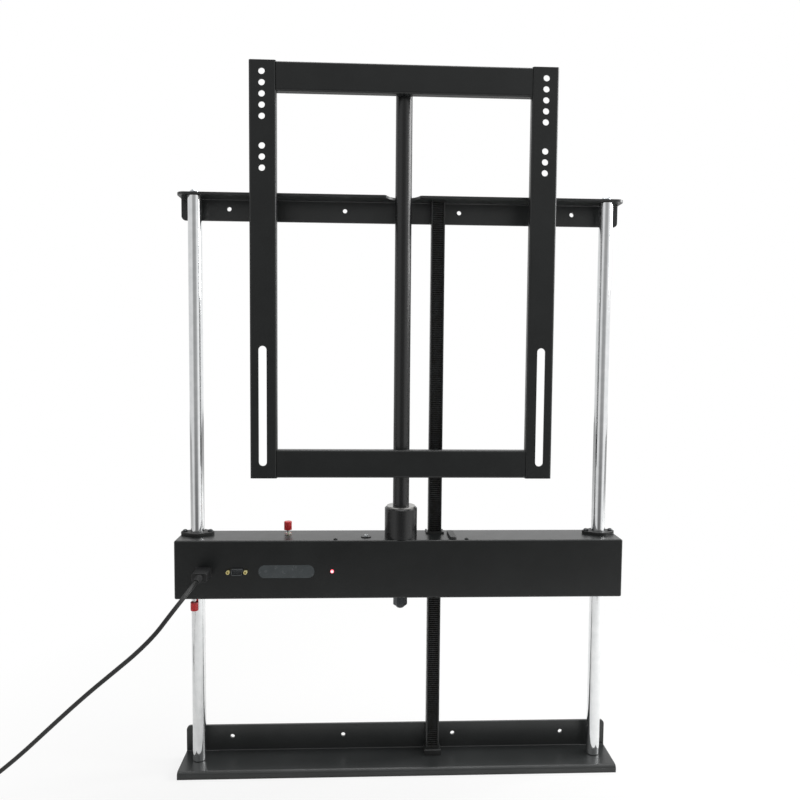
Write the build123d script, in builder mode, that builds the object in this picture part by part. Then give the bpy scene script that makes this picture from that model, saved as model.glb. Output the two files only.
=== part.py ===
from build123d import *
import os
from math import atan2, cos, pi, radians, sin, sqrt, tan

os.makedirs("parts", exist_ok=True)

# A television lift: two guide rods and a toothed rack stand between a base bracket and a top bracket. A motor
# housing climbs them and carries a mast with the television frame. The origin is the middle of the footprint
# at floor level, +Z is up and the front faces -Y. Everything is drawn at its rest height, part of the way up the
# rods.

# Driving dimensions of the stand
overall_width = 655.0
rod_inset = 25.0
rod_diameter = 20.0
rod_y = 9.5
bracket_sheet = 3.5
bend_radius = 5.0
corner_radius = 6.0
base_front_y = -27.0
base_top_z = 11.0
base_flange_height = 40.0
top_bracket_z = 858.5
top_flange_height = 35.0
top_plate_front_y = -1.0
top_plate_corner = 12.0
wall_hole_diameter = 6.5
wall_hole_pitch = 171.5
wall_hole_count = 4
wall_hole_inset = 17.5

# Driving dimensions of the rack and its pinion
rack_x = 52.5
channel_width = 20.0
channel_depth = 16.0
channel_wall = 2.0
channel_wall_gap = 4.0
gear_module = 1.0
pinion_teeth = 24
pressure_angle = 20.0
pinion_width = 12.0
tooth_recess = 1.0
tooth_backlash = 0.12
tooth_tip_clearance = 0.25
rack_side_clearance = 0.2
rack_foot_width = 26.0
rack_foot_depth = 20.0
rack_foot_height = 9.0

# Driving dimensions of the housing
housing_depth = 60.0
housing_height = 86.0
housing_rest_z = 271.5
housing_sheet = 2.0
housing_bend = 2.5
housing_lip = 12.0
connector_post_height = 5.0

# Driving dimensions of the mast and the television frame
mast_diameter = 24.0
mast_y = -6.0
mast_top_drop = 3.0
collar_diameter = 48.0
collar_height = 46.5
frame_bottom_z = 448.0
frame_height = 586.0
frame_depth = 11.5
frame_sheet = 2.0
frame_bend = 2.0
upright_width = 38.0
rail_height = 40.5
rail_inset = 0.8
vesa_spacing = 400.0
vesa_margin = 18.0
frame_width = vesa_spacing + 2 * vesa_margin
vesa_hole_diameter = 9.0
vesa_first_hole = 15.3
vesa_hole_pitch = 15.25
vesa_upper_holes = 5
vesa_lower_holes = 3
vesa_row_gap = 40.5
vesa_slot_bottom = 18.0
vesa_slot_length = 172.0
vesa_slot_width = 11.5

# Clearances shared by the fits
running_clearance = 0.05
screw_clearance = 0.25
cut_overrun = 2.0

# Depths and heights that follow from the driving dimensions
bracket_back_y = housing_depth / 2 + connector_post_height
bracket_face_y = bracket_back_y - bracket_sheet
rod_radius = rod_diameter / 2
rod_top_z = top_bracket_z - bracket_sheet
half_width = overall_width / 2
rod_places = (rod_inset - half_width, half_width - rod_inset)
housing_top_z = housing_rest_z + housing_height
housing_half = half_width
housing_front_y = -housing_depth / 2
housing_back_y = housing_depth / 2
inner_front_y = housing_front_y + housing_sheet
inner_back_y = housing_back_y - housing_sheet
inner_bottom_z = housing_rest_z + housing_sheet
inner_top_z = housing_top_z - housing_sheet
channel_back_y = bracket_face_y - channel_wall_gap
channel_front_y = channel_back_y - channel_depth
mast_radius = mast_diameter / 2
collar_radius = collar_diameter / 2
frame_back_y = mast_y - mast_radius
frame_front_y = frame_back_y - frame_depth
frame_top_z = frame_bottom_z + frame_height
mast_top_z = frame_top_z - mast_top_drop


def facing_front(y):
    """The upright plane at depth y that looks to the front, with X across and Z up."""
    return Plane.XZ.offset(-y)


def facing_back(y):
    """The upright plane at depth y that looks to the back, with Z up."""
    return Plane(origin=(0, y, 0), x_dir=(-1, 0, 0), z_dir=(0, 1, 0))


def across(x):
    """The plane across the part at x, with Y to its right and Z up."""
    return Plane.YZ.offset(x)


def level(z):
    """The level plane at height z."""
    return Plane.XY.offset(z)


def looking_down(z):
    """The level plane at height z that looks down, with X to its right."""
    return Plane(origin=(0, 0, z), x_dir=(1, 0, 0), z_dir=(0, 0, -1))


def block(x_range, y_range, z_range, mode=Mode.ADD):
    """A plain block between two values on each axis, made in the open part."""
    middle = [(low + high) / 2 for low, high in (x_range, y_range, z_range)]
    with Locations(tuple(middle)):
        Box(x_range[1] - x_range[0], y_range[1] - y_range[0], z_range[1] - z_range[0], mode=mode)


def disc(plane, place, radius, length, mode=Mode.ADD):
    """A round bar that rises by length from a place on a plane."""
    with BuildSketch(plane) as outline:
        with Locations(place):
            Circle(radius)
    extrude(outline.sketch, amount=length, mode=mode)


def hexagon(plane, place, flats, length, mode=Mode.ADD):
    """A six-sided bar that rises by length from a place on a plane."""
    with BuildSketch(plane) as outline:
        with Locations(place):
            RegularPolygon(flats / 2, 6, major_radius=False)
    extrude(outline.sketch, amount=length, mode=mode)


def taper(plane, place, radius, end_radius, length, mode=Mode.ADD):
    """A round bar that narrows or widens from one radius to another."""
    with BuildSketch(plane) as start:
        with Locations(place):
            Circle(radius)
    with BuildSketch(plane.offset(length)) as end:
        with Locations(place):
            Circle(end_radius)
    loft([start.sketch, end.sketch], mode=mode)


def panel_screw(plane, place, shank, length, head, height, socket):
    """A screw with a domed head on the plane and a hexagon socket in it."""
    disc(plane, place, shank / 2, -length)
    disc(plane, place, head / 2, height / 2)
    taper(plane.offset(height / 2), place, head / 2, head / 2 - height / 2, height / 2)
    hexagon(plane.offset(height), place, socket, -height / 2, Mode.SUBTRACT)


def flush_screw(plane, place, shank, length, head):
    """A countersunk screw whose head lies level with the plane."""
    disc(plane, place, shank / 2, -length)
    taper(plane, place, head / 2, shank / 2, -(head - shank) / 2)


def countersink(plane, place, shank, head):
    """The seat of a countersunk screw."""
    disc(plane, place, shank / 2 + screw_clearance, -cut_overrun - head, Mode.SUBTRACT)
    taper(plane, place, head / 2 + screw_clearance, shank / 2 + screw_clearance, -(head - shank) / 2,
          Mode.SUBTRACT)


# Wall holes shared by both brackets
wall_hole_places = [(index - (wall_hole_count - 1) / 2) * wall_hole_pitch for index in range(wall_hole_count)]
base_flange_top_z = base_top_z + base_flange_height
top_flange_bottom_z = top_bracket_z - top_flange_height
base_wall_hole_z = base_flange_top_z - wall_hole_inset
top_wall_hole_z = top_flange_bottom_z + wall_hole_inset

# Screws that hold the rods and the rack
rod_screw_diameter = 8.0
rod_screw_grip = 25.0
rod_screw_flats = 13.0
rod_screw_head = 4.6
rod_washer_diameter = 17.0
rod_washer_thickness = 1.6
rod_button_diameter = 14.0
rod_button_height = 4.4
rod_socket_flats = 5.0
rack_screw_diameter = 5.0
rack_screw_grip = 18.0
rack_screw_head = 9.0
rack_screw_head_height = 2.8
rack_socket_flats = 3.0
rack_screw_y = (channel_back_y - channel_wall + channel_front_y) / 2 + channel_wall

base_under_z = base_top_z - bracket_sheet
base_inner_front_y = base_front_y + bracket_sheet
sheet_middle = bracket_sheet / 2
fold_radius = bend_radius - sheet_middle

with BuildPart() as base_bracket:
    with BuildSketch(across(0)):
        with BuildLine():
            FilletPolyline(
                (base_front_y + sheet_middle, 0),
                (base_front_y + sheet_middle, base_top_z - sheet_middle),
                (bracket_back_y - sheet_middle, base_top_z - sheet_middle),
                (bracket_back_y - sheet_middle, base_flange_top_z),
                radius=fold_radius,
            )
        trace(line_width=bracket_sheet)
    extrude(amount=half_width, both=True)
    flange_corners = edges().filter_by(Axis.Y).group_by(Axis.Z)[-1]
    fillet(flange_corners, corner_radius)
    for side in (-1, 1):
        lip_x = sorted((side * half_width, side * (half_width - bracket_sheet)))
        block(lip_x, (base_front_y + bend_radius, bracket_back_y - bend_radius), (0, base_top_z))
    with BuildSketch(facing_front(bracket_face_y - cut_overrun)):
        with Locations([(x, base_wall_hole_z) for x in wall_hole_places]):
            Circle(wall_hole_diameter / 2)
    extrude(amount=-bracket_sheet - 2 * cut_overrun, mode=Mode.SUBTRACT)
    with BuildSketch(level(base_top_z + cut_overrun)):
        with Locations([(x, rod_y) for x in rod_places]):
            Circle(rod_screw_diameter / 2 + screw_clearance)
        with Locations((rack_x, rack_screw_y)):
            Circle(rack_screw_diameter / 2 + screw_clearance)
    extrude(amount=-bracket_sheet - 2 * cut_overrun, mode=Mode.SUBTRACT)
base_bracket.part.label = "base_bracket"
export_step(base_bracket.part, "parts/base_bracket.step")

# The notch lets the collar rise past the top plate
notch_clearance = 1.5
notch_radius = collar_radius + notch_clearance
notch_lead_radius = 4.0

with BuildPart() as top_bracket:
    with BuildSketch(across(0)):
        with BuildLine():
            FilletPolyline(
                (top_plate_front_y, top_bracket_z - sheet_middle),
                (bracket_back_y - sheet_middle, top_bracket_z - sheet_middle),
                (bracket_back_y - sheet_middle, top_flange_bottom_z),
                radius=fold_radius,
            )
        trace(line_width=bracket_sheet)
    extrude(amount=half_width, both=True)
    fillet(edges().filter_by(Axis.Y).group_by(Axis.Z)[0], corner_radius)
    fillet(edges().filter_by(Axis.Z).group_by(Axis.Y)[0], top_plate_corner)
    disc(level(top_bracket_z + cut_overrun), (0, mast_y), notch_radius, -bracket_sheet - 2 * cut_overrun,
         Mode.SUBTRACT)
    fillet(edges().filter_by(Axis.Z).filter_by_position(Axis.X, -notch_radius, notch_radius),
           notch_lead_radius)
    with BuildSketch(facing_front(bracket_face_y - cut_overrun)):
        with Locations([(x, top_wall_hole_z) for x in wall_hole_places]):
            Circle(wall_hole_diameter / 2)
    extrude(amount=-bracket_sheet - 2 * cut_overrun, mode=Mode.SUBTRACT)
    with BuildSketch(level(top_bracket_z + cut_overrun)):
        with Locations([(x, rod_y) for x in rod_places]):
            Circle(rod_screw_diameter / 2 + screw_clearance)
        with Locations((rack_x, rack_screw_y)):
            Circle(rack_screw_diameter / 2 + screw_clearance)
    extrude(amount=-bracket_sheet - 2 * cut_overrun, mode=Mode.SUBTRACT)
top_bracket.part.label = "top_bracket"
export_step(top_bracket.part, "parts/top_bracket.step")

# Guide rods, tapped at both ends
rod_chamfer = 1.0
tapped_depth = rod_screw_grip + cut_overrun

for side, x in zip(("left", "right"), rod_places):
    with BuildPart() as guide_rod:
        disc(level(base_top_z), (x, rod_y), rod_radius, rod_top_z - base_top_z)
        chamfer(edges().filter_by(GeomType.CIRCLE), rod_chamfer)
        disc(level(base_top_z), (x, rod_y), rod_screw_diameter / 2, tapped_depth, Mode.SUBTRACT)
        disc(level(rod_top_z), (x, rod_y), rod_screw_diameter / 2, -tapped_depth, Mode.SUBTRACT)
    guide_rod.part.label = f"guide_rod_{side}"
    export_step(guide_rod.part, f"parts/guide_rod_{side}.step")

with BuildPart() as rod_washers_lower:
    for x in rod_places:
        disc(looking_down(base_under_z), (x, -rod_y), rod_washer_diameter / 2, rod_washer_thickness)
        disc(looking_down(base_under_z), (x, -rod_y), rod_screw_diameter / 2 + screw_clearance,
             rod_washer_thickness, Mode.SUBTRACT)
rod_washers_lower.part.label = "rod_washers_lower"
export_step(rod_washers_lower.part, "parts/rod_washers_lower.step")

with BuildPart() as rod_screws_lower:
    for x in rod_places:
        hexagon(looking_down(base_under_z - rod_washer_thickness), (x, -rod_y), rod_screw_flats,
                rod_screw_head)
        disc(level(base_under_z - rod_washer_thickness), (x, rod_y),
             rod_screw_diameter / 2 - running_clearance,
             rod_screw_grip)
rod_screws_lower.part.label = "rod_screws_lower"
export_step(rod_screws_lower.part, "parts/rod_screws_lower.step")

with BuildPart() as rod_screws_upper:
    for x in rod_places:
        panel_screw(level(top_bracket_z), (x, rod_y), rod_screw_diameter - 2 * running_clearance,
                    rod_screw_grip,
                    rod_button_diameter, rod_button_height, rod_socket_flats)
rod_screws_upper.part.label = "rod_screws_upper"
export_step(rod_screws_upper.part, "parts/rod_screws_upper.step")

# Rack: a toothed bar in a channel whose open side faces the front
channel_bottom_z = base_top_z + rack_foot_height
channel_left_x = rack_x - channel_width / 2
channel_right_x = rack_x + channel_width / 2
rack_bar_left_x = channel_left_x + channel_wall + rack_side_clearance
rack_bar_right_x = channel_right_x - channel_wall - rack_side_clearance
rack_bar_back_y = channel_back_y - channel_wall
tooth_tip_y = channel_front_y + tooth_recess
tooth_root_y = tooth_tip_y + (2 + tooth_tip_clearance) * gear_module
pitch_line_y = tooth_tip_y + gear_module
tooth_pitch = pi * gear_module
pinion_radius = pinion_teeth * gear_module / 2
pinion_y = pitch_line_y - pinion_radius
pinion_z = (inner_bottom_z + inner_top_z) / 2
flank_slope = tan(radians(pressure_angle))

# A foot under the channel, and a spacer between the channel's back and each flange
spacer_height = 14.0
spacer_inset = 3.0

with BuildPart() as rack_mounts:
    foot_x = (rack_x - rack_foot_width / 2, rack_x + rack_foot_width / 2)
    foot_y = (channel_back_y - rack_foot_depth, channel_back_y)
    block(foot_x, foot_y, (base_top_z, channel_bottom_z))
    chamfer(faces().sort_by(Axis.Z)[-1].edges(), rod_chamfer)
    disc(level(base_top_z), (rack_x, rack_screw_y), rack_screw_diameter / 2 + screw_clearance,
         rack_foot_height, Mode.SUBTRACT)
    for low_z in (base_top_z + spacer_inset, rod_top_z - spacer_inset - spacer_height):
        block((channel_left_x, channel_right_x), (channel_back_y, bracket_face_y),
              (low_z, low_z + spacer_height))
rack_mounts.part.label = "rack_mounts"
export_step(rack_mounts.part, "parts/rack_mounts.step")

with BuildPart() as rack_channel:
    block((channel_left_x, channel_right_x), (channel_front_y, channel_back_y), (channel_bottom_z, rod_top_z))
    fillet(edges().filter_by(Axis.Z).group_by(Axis.Y)[-1], channel_wall)
    block((channel_left_x + channel_wall, channel_right_x - channel_wall),
          (channel_front_y - cut_overrun, rack_bar_back_y), (channel_bottom_z, rod_top_z), Mode.SUBTRACT)
rack_channel.part.label = "rack_channel"
export_step(rack_channel.part, "parts/rack_channel.step")

# The teeth are trapezoids in the side view, with the gap opposite the pinion's shaft centred on it
teeth_below = int((pinion_z - channel_bottom_z) / tooth_pitch - 1)
teeth_above = int((rod_top_z - pinion_z) / tooth_pitch - 1)
half_gap_root = tooth_pitch / 4 - (tooth_root_y - pitch_line_y) * flank_slope
half_gap_tip = tooth_pitch / 4 + (pitch_line_y - tooth_tip_y) * flank_slope
rack_outline = [(rack_bar_back_y, rod_top_z), (rack_bar_back_y, channel_bottom_z),
                (tooth_tip_y, channel_bottom_z)]
for tooth in range(-teeth_below, teeth_above + 1):
    gap_z = pinion_z + tooth * tooth_pitch
    rack_outline.append((tooth_tip_y, gap_z - half_gap_tip))
    rack_outline.append((tooth_root_y, gap_z - half_gap_root))
    rack_outline.append((tooth_root_y, gap_z + half_gap_root))
    rack_outline.append((tooth_tip_y, gap_z + half_gap_tip))
rack_outline.append((tooth_tip_y, rod_top_z))

with BuildPart() as gear_rack:
    with BuildSketch(across(rack_bar_left_x)):
        with BuildLine():
            Polyline(*rack_outline, close=True)
        make_face()
    extrude(amount=rack_bar_right_x - rack_bar_left_x)
    for end_z, length in ((channel_bottom_z, tapped_depth), (rod_top_z, -tapped_depth)):
        disc(level(end_z), (rack_x, rack_screw_y), rack_screw_diameter / 2, length, Mode.SUBTRACT)
gear_rack.part.label = "gear_rack"
export_step(gear_rack.part, "parts/gear_rack.step")

with BuildPart() as rack_screws:
    panel_screw(looking_down(base_under_z), (rack_x, -rack_screw_y),
                rack_screw_diameter - 2 * running_clearance,
                rack_screw_grip + rack_foot_height, rack_screw_head, rack_screw_head_height,
                rack_socket_flats)
    panel_screw(level(top_bracket_z), (rack_x, rack_screw_y), rack_screw_diameter - 2 * running_clearance,
                rack_screw_grip, rack_screw_head, rack_screw_head_height, rack_socket_flats)
rack_screws.part.label = "rack_screws"
export_step(rack_screws.part, "parts/rack_screws.step")

# Places of what shows on the housing's front, all on one line
front_line_height = 40.5
inlet_inset = 42.5
inlet_x = inlet_inset - housing_half
inlet_width = 24.0
inlet_height = 15.0
inlet_length = 18.0
serial_inset = 90.0
serial_x = serial_inset - housing_half
serial_width = 17.0
serial_height = 9.0
serial_post_spacing = 25.0
window_inset = 161.0
window_x = window_inset - housing_half
window_width = 81.0
window_height = 19.0
window_thickness = 2.2
window_rim = 3.0
lamp_inset = 227.0
lamp_x = lamp_inset - housing_half
lamp_diameter = 5.0
post_flats = 5.0
post_thread = 3.0

# Places of what shows on the housing's top and bottom
stop_diameter = 11.5
stop_cap_height = 12.5
stop_stem_diameter = 4.0
stop_neck_diameter = 7.0
stop_nut_flats = 9.0
stop_nut_height = 2.5
upper_stop_reach = 19.5
stop_travel = 3.5
upper_stop_inset = 159.0
upper_stop_x = upper_stop_inset - housing_half
upper_stop_y = 8.0
lower_stop_x = rod_places[0]
lower_stop_y = -14.0
lower_stop_reach = 21.5
cover_screw_shank = 3.0
cover_screw_head = 5.6
cover_screw_count = 5
cover_screw_inset = 27.5
cover_screw_pitch = (overall_width - 2 * cover_screw_inset) / (cover_screw_count - 1)
top_screw_x = 96.0
top_screw_inset = 5.0
top_screw_head = 6.0
top_screw_height = 1.8
top_screw_shank = 3.5
top_screw_length = 5.0
top_socket_flats = 2.5
earth_screw_x = -51.5
earth_screw_y = -9.0
earth_washer_diameter = 15.0
earth_washer_thickness = 1.2
earth_screw_height = 2.6

front_line_z = housing_rest_z + front_line_height

# Guide bearings: a spigot inside the housing and a flange with two ears outside it
bearing_body_diameter = 26.0
bearing_body_length = 30.0
bearing_flange = 4.5
bearing_ear_spacing = 37.0
bearing_ear_radius = 6.0
bearing_flange_radius = 16.5
bearing_screw_shank = 4.0
bearing_screw_head = 7.5
bearing_screw_height = 2.6
bearing_screw_length = 5.5
bearing_socket_flats = 2.5
spigot_hole_radius = bearing_body_diameter / 2 + screw_clearance

# The mast's collar on the top and the hub on the floor of the housing
bush_wall = 2.0
bush_length = 14.0
bush_flange = 2.0
collar_bore_radius = mast_radius + running_clearance + bush_wall
collar_top_z = housing_top_z + collar_height - bush_flange
spindle_diameter = 16.0
spindle_thread = 12.0
spindle_nut_flats = 18.0
spindle_nut_height = 15.5
spindle_tip = 3.0
spindle_washer_diameter = 24.0
spindle_washer_thickness = 2.5
hub_diameter = 36.0
hub_height = 20.0
thrust_washer_thickness = 3.0
thrust_washer_diameter = 32.0

# The slot in the housing that the rack channel runs through
slot_clearance = 1.0
grommet_wall = 2.5
grommet_rise = 2.5
slot_left_x = channel_left_x - slot_clearance - grommet_wall
slot_right_x = channel_right_x + slot_clearance + grommet_wall
slot_front_y = channel_front_y - slot_clearance - grommet_wall

lip_middle_zs = (inner_bottom_z + housing_lip / 2, inner_top_z - housing_lip / 2)
cover_screw_places = [
    ((index - (cover_screw_count - 1) / 2) * cover_screw_pitch, z)
    for index in range(cover_screw_count)
    for z in lip_middle_zs
]

with BuildPart() as housing_shell:
    block((-housing_half, housing_half), (housing_front_y, inner_back_y), (housing_rest_z, housing_top_z))
    fillet(edges().filter_by(Axis.X).group_by(Axis.Y)[0], housing_bend)
    fillet(edges().filter_by(Axis.Z).group_by(Axis.Y)[0], housing_bend)
    block((-housing_half + housing_sheet, housing_half - housing_sheet), (inner_front_y, inner_back_y),
          (inner_bottom_z, inner_top_z), Mode.SUBTRACT)
    # Lips that the rear cover screws to, broken where the rack channel passes
    for low_z in (inner_bottom_z, inner_top_z - housing_lip):
        for lip_x in ((-housing_half + housing_sheet, slot_left_x),
                      (slot_right_x, housing_half - housing_sheet)):
            block(lip_x, (inner_back_y - housing_sheet, inner_back_y), (low_z, low_z + housing_lip))
    for x, z in cover_screw_places:
        disc(facing_front(inner_back_y), (x, z), cover_screw_shank / 2, housing_sheet + cut_overrun,
             Mode.SUBTRACT)
    with BuildSketch(level(housing_rest_z - cut_overrun)):
        with Locations([(x, rod_y) for x in rod_places]):
            Circle(spigot_hole_radius)
        with Locations([(x + ear, rod_y) for x in rod_places
                        for ear in (-bearing_ear_spacing / 2, bearing_ear_spacing / 2)]):
            Circle(bearing_screw_shank / 2 + screw_clearance)
    extrude(amount=housing_height + 2 * cut_overrun, mode=Mode.SUBTRACT)
    block((slot_left_x, slot_right_x), (slot_front_y, inner_back_y),
          (housing_rest_z - cut_overrun, housing_top_z + cut_overrun), Mode.SUBTRACT)
    disc(level(housing_top_z + cut_overrun), (0, mast_y), collar_bore_radius,
         -housing_sheet - 2 * cut_overrun, Mode.SUBTRACT)
    disc(level(housing_rest_z - cut_overrun), (0, mast_y), spindle_diameter / 2 + screw_clearance,
         housing_sheet + 2 * cut_overrun, Mode.SUBTRACT)
    disc(level(housing_top_z + cut_overrun), (upper_stop_x, upper_stop_y),
         stop_neck_diameter / 2 + screw_clearance,
         -housing_sheet - 2 * cut_overrun, Mode.SUBTRACT)
    disc(level(housing_rest_z - cut_overrun), (lower_stop_x, lower_stop_y),
         stop_neck_diameter / 2 + screw_clearance, housing_sheet + 2 * cut_overrun, Mode.SUBTRACT)
    with BuildSketch(level(housing_top_z + cut_overrun)):
        with Locations((-top_screw_x, housing_front_y + top_screw_inset),
                       (top_screw_x, housing_front_y + top_screw_inset), (earth_screw_x, earth_screw_y)):
            Circle(top_screw_shank / 2 + screw_clearance)
    extrude(amount=-housing_sheet - 2 * cut_overrun, mode=Mode.SUBTRACT)
    with BuildSketch(facing_front(housing_front_y - cut_overrun)):
        with Locations((inlet_x, front_line_z)):
            RectangleRounded(inlet_width + screw_clearance, inlet_height + screw_clearance, housing_bend)
        with Locations((serial_x, front_line_z)):
            Rectangle(serial_width + screw_clearance, serial_height + screw_clearance)
        with Locations([(serial_x + side * serial_post_spacing / 2, front_line_z) for side in (-1, 1)]):
            Circle(post_thread / 2 + screw_clearance)
        with Locations((window_x, front_line_z)):
            SlotOverall(window_width + screw_clearance, window_height + screw_clearance)
        with Locations((lamp_x, front_line_z)):
            Circle(lamp_diameter / 2 + screw_clearance)
    extrude(amount=-housing_sheet - 2 * cut_overrun, mode=Mode.SUBTRACT)
housing_shell.part.label = "housing_shell"
export_step(housing_shell.part, "parts/housing_shell.step")

# Rear cover, held by flush screws in the lips
with BuildPart() as rear_cover:
    block((-housing_half, housing_half), (inner_back_y, housing_back_y), (housing_rest_z, housing_top_z))
    fillet(edges().filter_by(Axis.Y), housing_bend)
    for place in cover_screw_places:
        countersink(facing_back(housing_back_y), place, cover_screw_shank, cover_screw_head)
rear_cover.part.label = "rear_cover"
export_step(rear_cover.part, "parts/rear_cover.step")

with BuildPart() as cover_screws:
    for place in cover_screw_places:
        flush_screw(facing_back(housing_back_y), place, cover_screw_shank, 2 * housing_sheet,
                    cover_screw_head)
cover_screws.part.label = "cover_screws"
export_step(cover_screws.part, "parts/cover_screws.step")

# Guide bearings, one above and one below on each rod
bearing_bore_radius = rod_radius + running_clearance

ear_places = [(x + ear * bearing_ear_spacing / 2, rod_y) for x in rod_places for ear in (-1, 1)]

for height, face_z, outward in (("upper", housing_top_z, 1), ("lower", housing_rest_z, -1)):
    with BuildPart() as guide_bearings:
        for x in rod_places:
            with BuildSketch(level(face_z)):
                with Locations((x, rod_y)):
                    Circle(bearing_flange_radius)
                with Locations([(x + ear * bearing_ear_spacing / 2, rod_y) for ear in (-1, 1)]):
                    Circle(bearing_ear_radius)
                make_hull()
            extrude(amount=outward * bearing_flange)
        outer_faces = faces().filter_by(Axis.Z).filter_by(lambda face: face.center().Z != face_z)
        fillet(outer_faces.edges(), rod_chamfer)
        for x in rod_places:
            disc(level(face_z), (x, rod_y), bearing_body_diameter / 2, -outward * bearing_body_length)
            disc(level(face_z + outward * (bearing_flange + cut_overrun)), (x, rod_y), bearing_bore_radius,
                 -outward * (bearing_flange + bearing_body_length + 2 * cut_overrun), Mode.SUBTRACT)
        for place in ear_places:
            disc(level(face_z - outward * cut_overrun), place, bearing_screw_shank / 2 + screw_clearance,
                 outward * (bearing_flange + 2 * cut_overrun), Mode.SUBTRACT)
    guide_bearings.part.label = f"guide_bearings_{height}"
    export_step(guide_bearings.part, f"parts/guide_bearings_{height}.step")

with BuildPart() as bearing_screws:
    for x, y in ear_places:
        for plane, place in (
            (level(housing_top_z + bearing_flange), (x, y)),
            (looking_down(housing_rest_z - bearing_flange), (x, -y)),
        ):
            panel_screw(plane, place, bearing_screw_shank, bearing_flange + bearing_screw_length,
                        bearing_screw_head, bearing_screw_height, bearing_socket_flats)
bearing_screws.part.label = "bearing_screws"
export_step(bearing_screws.part, "parts/bearing_screws.step")

# Liners where the rack channel passes the housing's floor and top
with BuildPart() as rack_grommets:
    for low_z in (housing_rest_z - grommet_rise, inner_top_z - grommet_rise):
        z_range = (low_z, low_z + housing_sheet + 2 * grommet_rise)
        block((slot_left_x, slot_right_x), (slot_front_y, inner_back_y), z_range)
        block((slot_left_x + grommet_wall, slot_right_x - grommet_wall),
              (slot_front_y + grommet_wall, inner_back_y), z_range, Mode.SUBTRACT)
rack_grommets.part.label = "rack_grommets"
export_step(rack_grommets.part, "parts/rack_grommets.step")

# Collar with two flanged bushes around the mast
collar_chamfer = 1.5

with BuildPart() as mast_collar:
    disc(level(housing_top_z), (0, mast_y), collar_radius, collar_top_z - housing_top_z)
    chamfer(edges().filter_by(GeomType.CIRCLE).group_by(Axis.Z)[-1], collar_chamfer)
    disc(level(housing_top_z), (0, mast_y), collar_bore_radius, collar_top_z - housing_top_z, Mode.SUBTRACT)
mast_collar.part.label = "mast_collar"
export_step(mast_collar.part, "parts/mast_collar.step")

bush_flange_radius = collar_radius - 2 * collar_chamfer
bush_bore_radius = mast_radius + running_clearance

with BuildPart() as collar_bushes:
    disc(level(collar_top_z), (0, mast_y), bush_flange_radius, bush_flange)
    disc(level(collar_top_z), (0, mast_y), collar_bore_radius, -bush_length)
    disc(level(inner_top_z), (0, mast_y), collar_bore_radius, bush_length)
    disc(level(inner_top_z), (0, mast_y), bush_flange_radius, -bush_flange)
    disc(level(inner_top_z - bush_flange), (0, mast_y), bush_bore_radius,
         collar_top_z - inner_top_z + 2 * bush_flange, Mode.SUBTRACT)
collar_bushes.part.label = "collar_bushes"
export_step(collar_bushes.part, "parts/collar_bushes.step")

# Hub on the housing's floor that carries the mast through a thrust washer
hub_top_z = inner_bottom_z + hub_height
spindle_radius = spindle_diameter / 2
mast_bottom_z = hub_top_z + thrust_washer_thickness + running_clearance

with BuildPart() as spindle_hub:
    disc(level(inner_bottom_z), (0, mast_y), hub_diameter / 2, hub_height)
    chamfer(edges().filter_by(GeomType.CIRCLE).group_by(Axis.Z)[-1], rod_chamfer)
    disc(level(inner_bottom_z), (0, mast_y), spindle_radius + running_clearance, hub_height, Mode.SUBTRACT)
spindle_hub.part.label = "spindle_hub"
export_step(spindle_hub.part, "parts/spindle_hub.step")

with BuildPart() as thrust_washer:
    disc(level(hub_top_z), (0, mast_y), thrust_washer_diameter / 2, thrust_washer_thickness)
    disc(level(hub_top_z), (0, mast_y), spindle_radius + screw_clearance, thrust_washer_thickness,
         Mode.SUBTRACT)
thrust_washer.part.label = "thrust_washer"
export_step(thrust_washer.part, "parts/thrust_washer.step")

# Mast: a tube with a solid foot whose spindle passes the hub and takes a lock nut below
mast_wall = 3.0
mast_foot_height = 40.0
mast_edge = 1.0
spindle_gap = 0.3
shoulder_z = housing_rest_z - spindle_gap
nut_top_z = shoulder_z - spindle_washer_thickness
nut_bottom_z = nut_top_z - spindle_nut_height
saddle_screw_diameter = 6.0
saddle_screw_head = 10.0
saddle_screw_head_height = 3.3
saddle_screw_depth = 30.0
saddle_socket_flats = 4.0
saddle_screw_offset = 8.0
rail_bottom_middle_z = frame_bottom_z + rail_inset + rail_height / 2
rail_top_middle_z = frame_top_z - rail_inset - rail_height / 2
rail_middles = (rail_bottom_middle_z, rail_top_middle_z)
saddle_screw_zs = [z + side * saddle_screw_offset for z in rail_middles for side in (-1, 1)]

with BuildPart() as mast:
    disc(level(mast_bottom_z), (0, mast_y), mast_radius, mast_top_z - mast_bottom_z)
    chamfer(edges().filter_by(GeomType.CIRCLE), mast_edge)
    disc(level(mast_bottom_z + mast_foot_height), (0, mast_y), mast_radius - mast_wall,
         mast_top_z - mast_bottom_z - mast_foot_height, Mode.SUBTRACT)
    disc(level(shoulder_z), (0, mast_y), spindle_radius, mast_bottom_z - shoulder_z)
    disc(level(nut_bottom_z - spindle_tip), (0, mast_y), spindle_thread / 2,
         shoulder_z - nut_bottom_z + spindle_tip)
    chamfer(edges().filter_by(GeomType.CIRCLE).group_by(Axis.Z)[0], mast_edge)
    for z in saddle_screw_zs:
        disc(facing_front(mast_y - mast_radius - cut_overrun), (0, z),
             saddle_screw_diameter / 2 + screw_clearance,
             -mast_diameter - 2 * cut_overrun, Mode.SUBTRACT)
mast.part.label = "mast"
export_step(mast.part, "parts/mast.step")

cap_thickness = 2.0
cap_spigot = 4.0

with BuildPart() as mast_cap:
    disc(level(mast_top_z), (0, mast_y), mast_radius, cap_thickness)
    chamfer(edges().filter_by(GeomType.CIRCLE).group_by(Axis.Z)[-1], mast_edge)
    disc(level(mast_top_z), (0, mast_y), mast_radius - mast_wall, -cap_spigot)
mast_cap.part.label = "mast_cap"
export_step(mast_cap.part, "parts/mast_cap.step")

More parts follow.
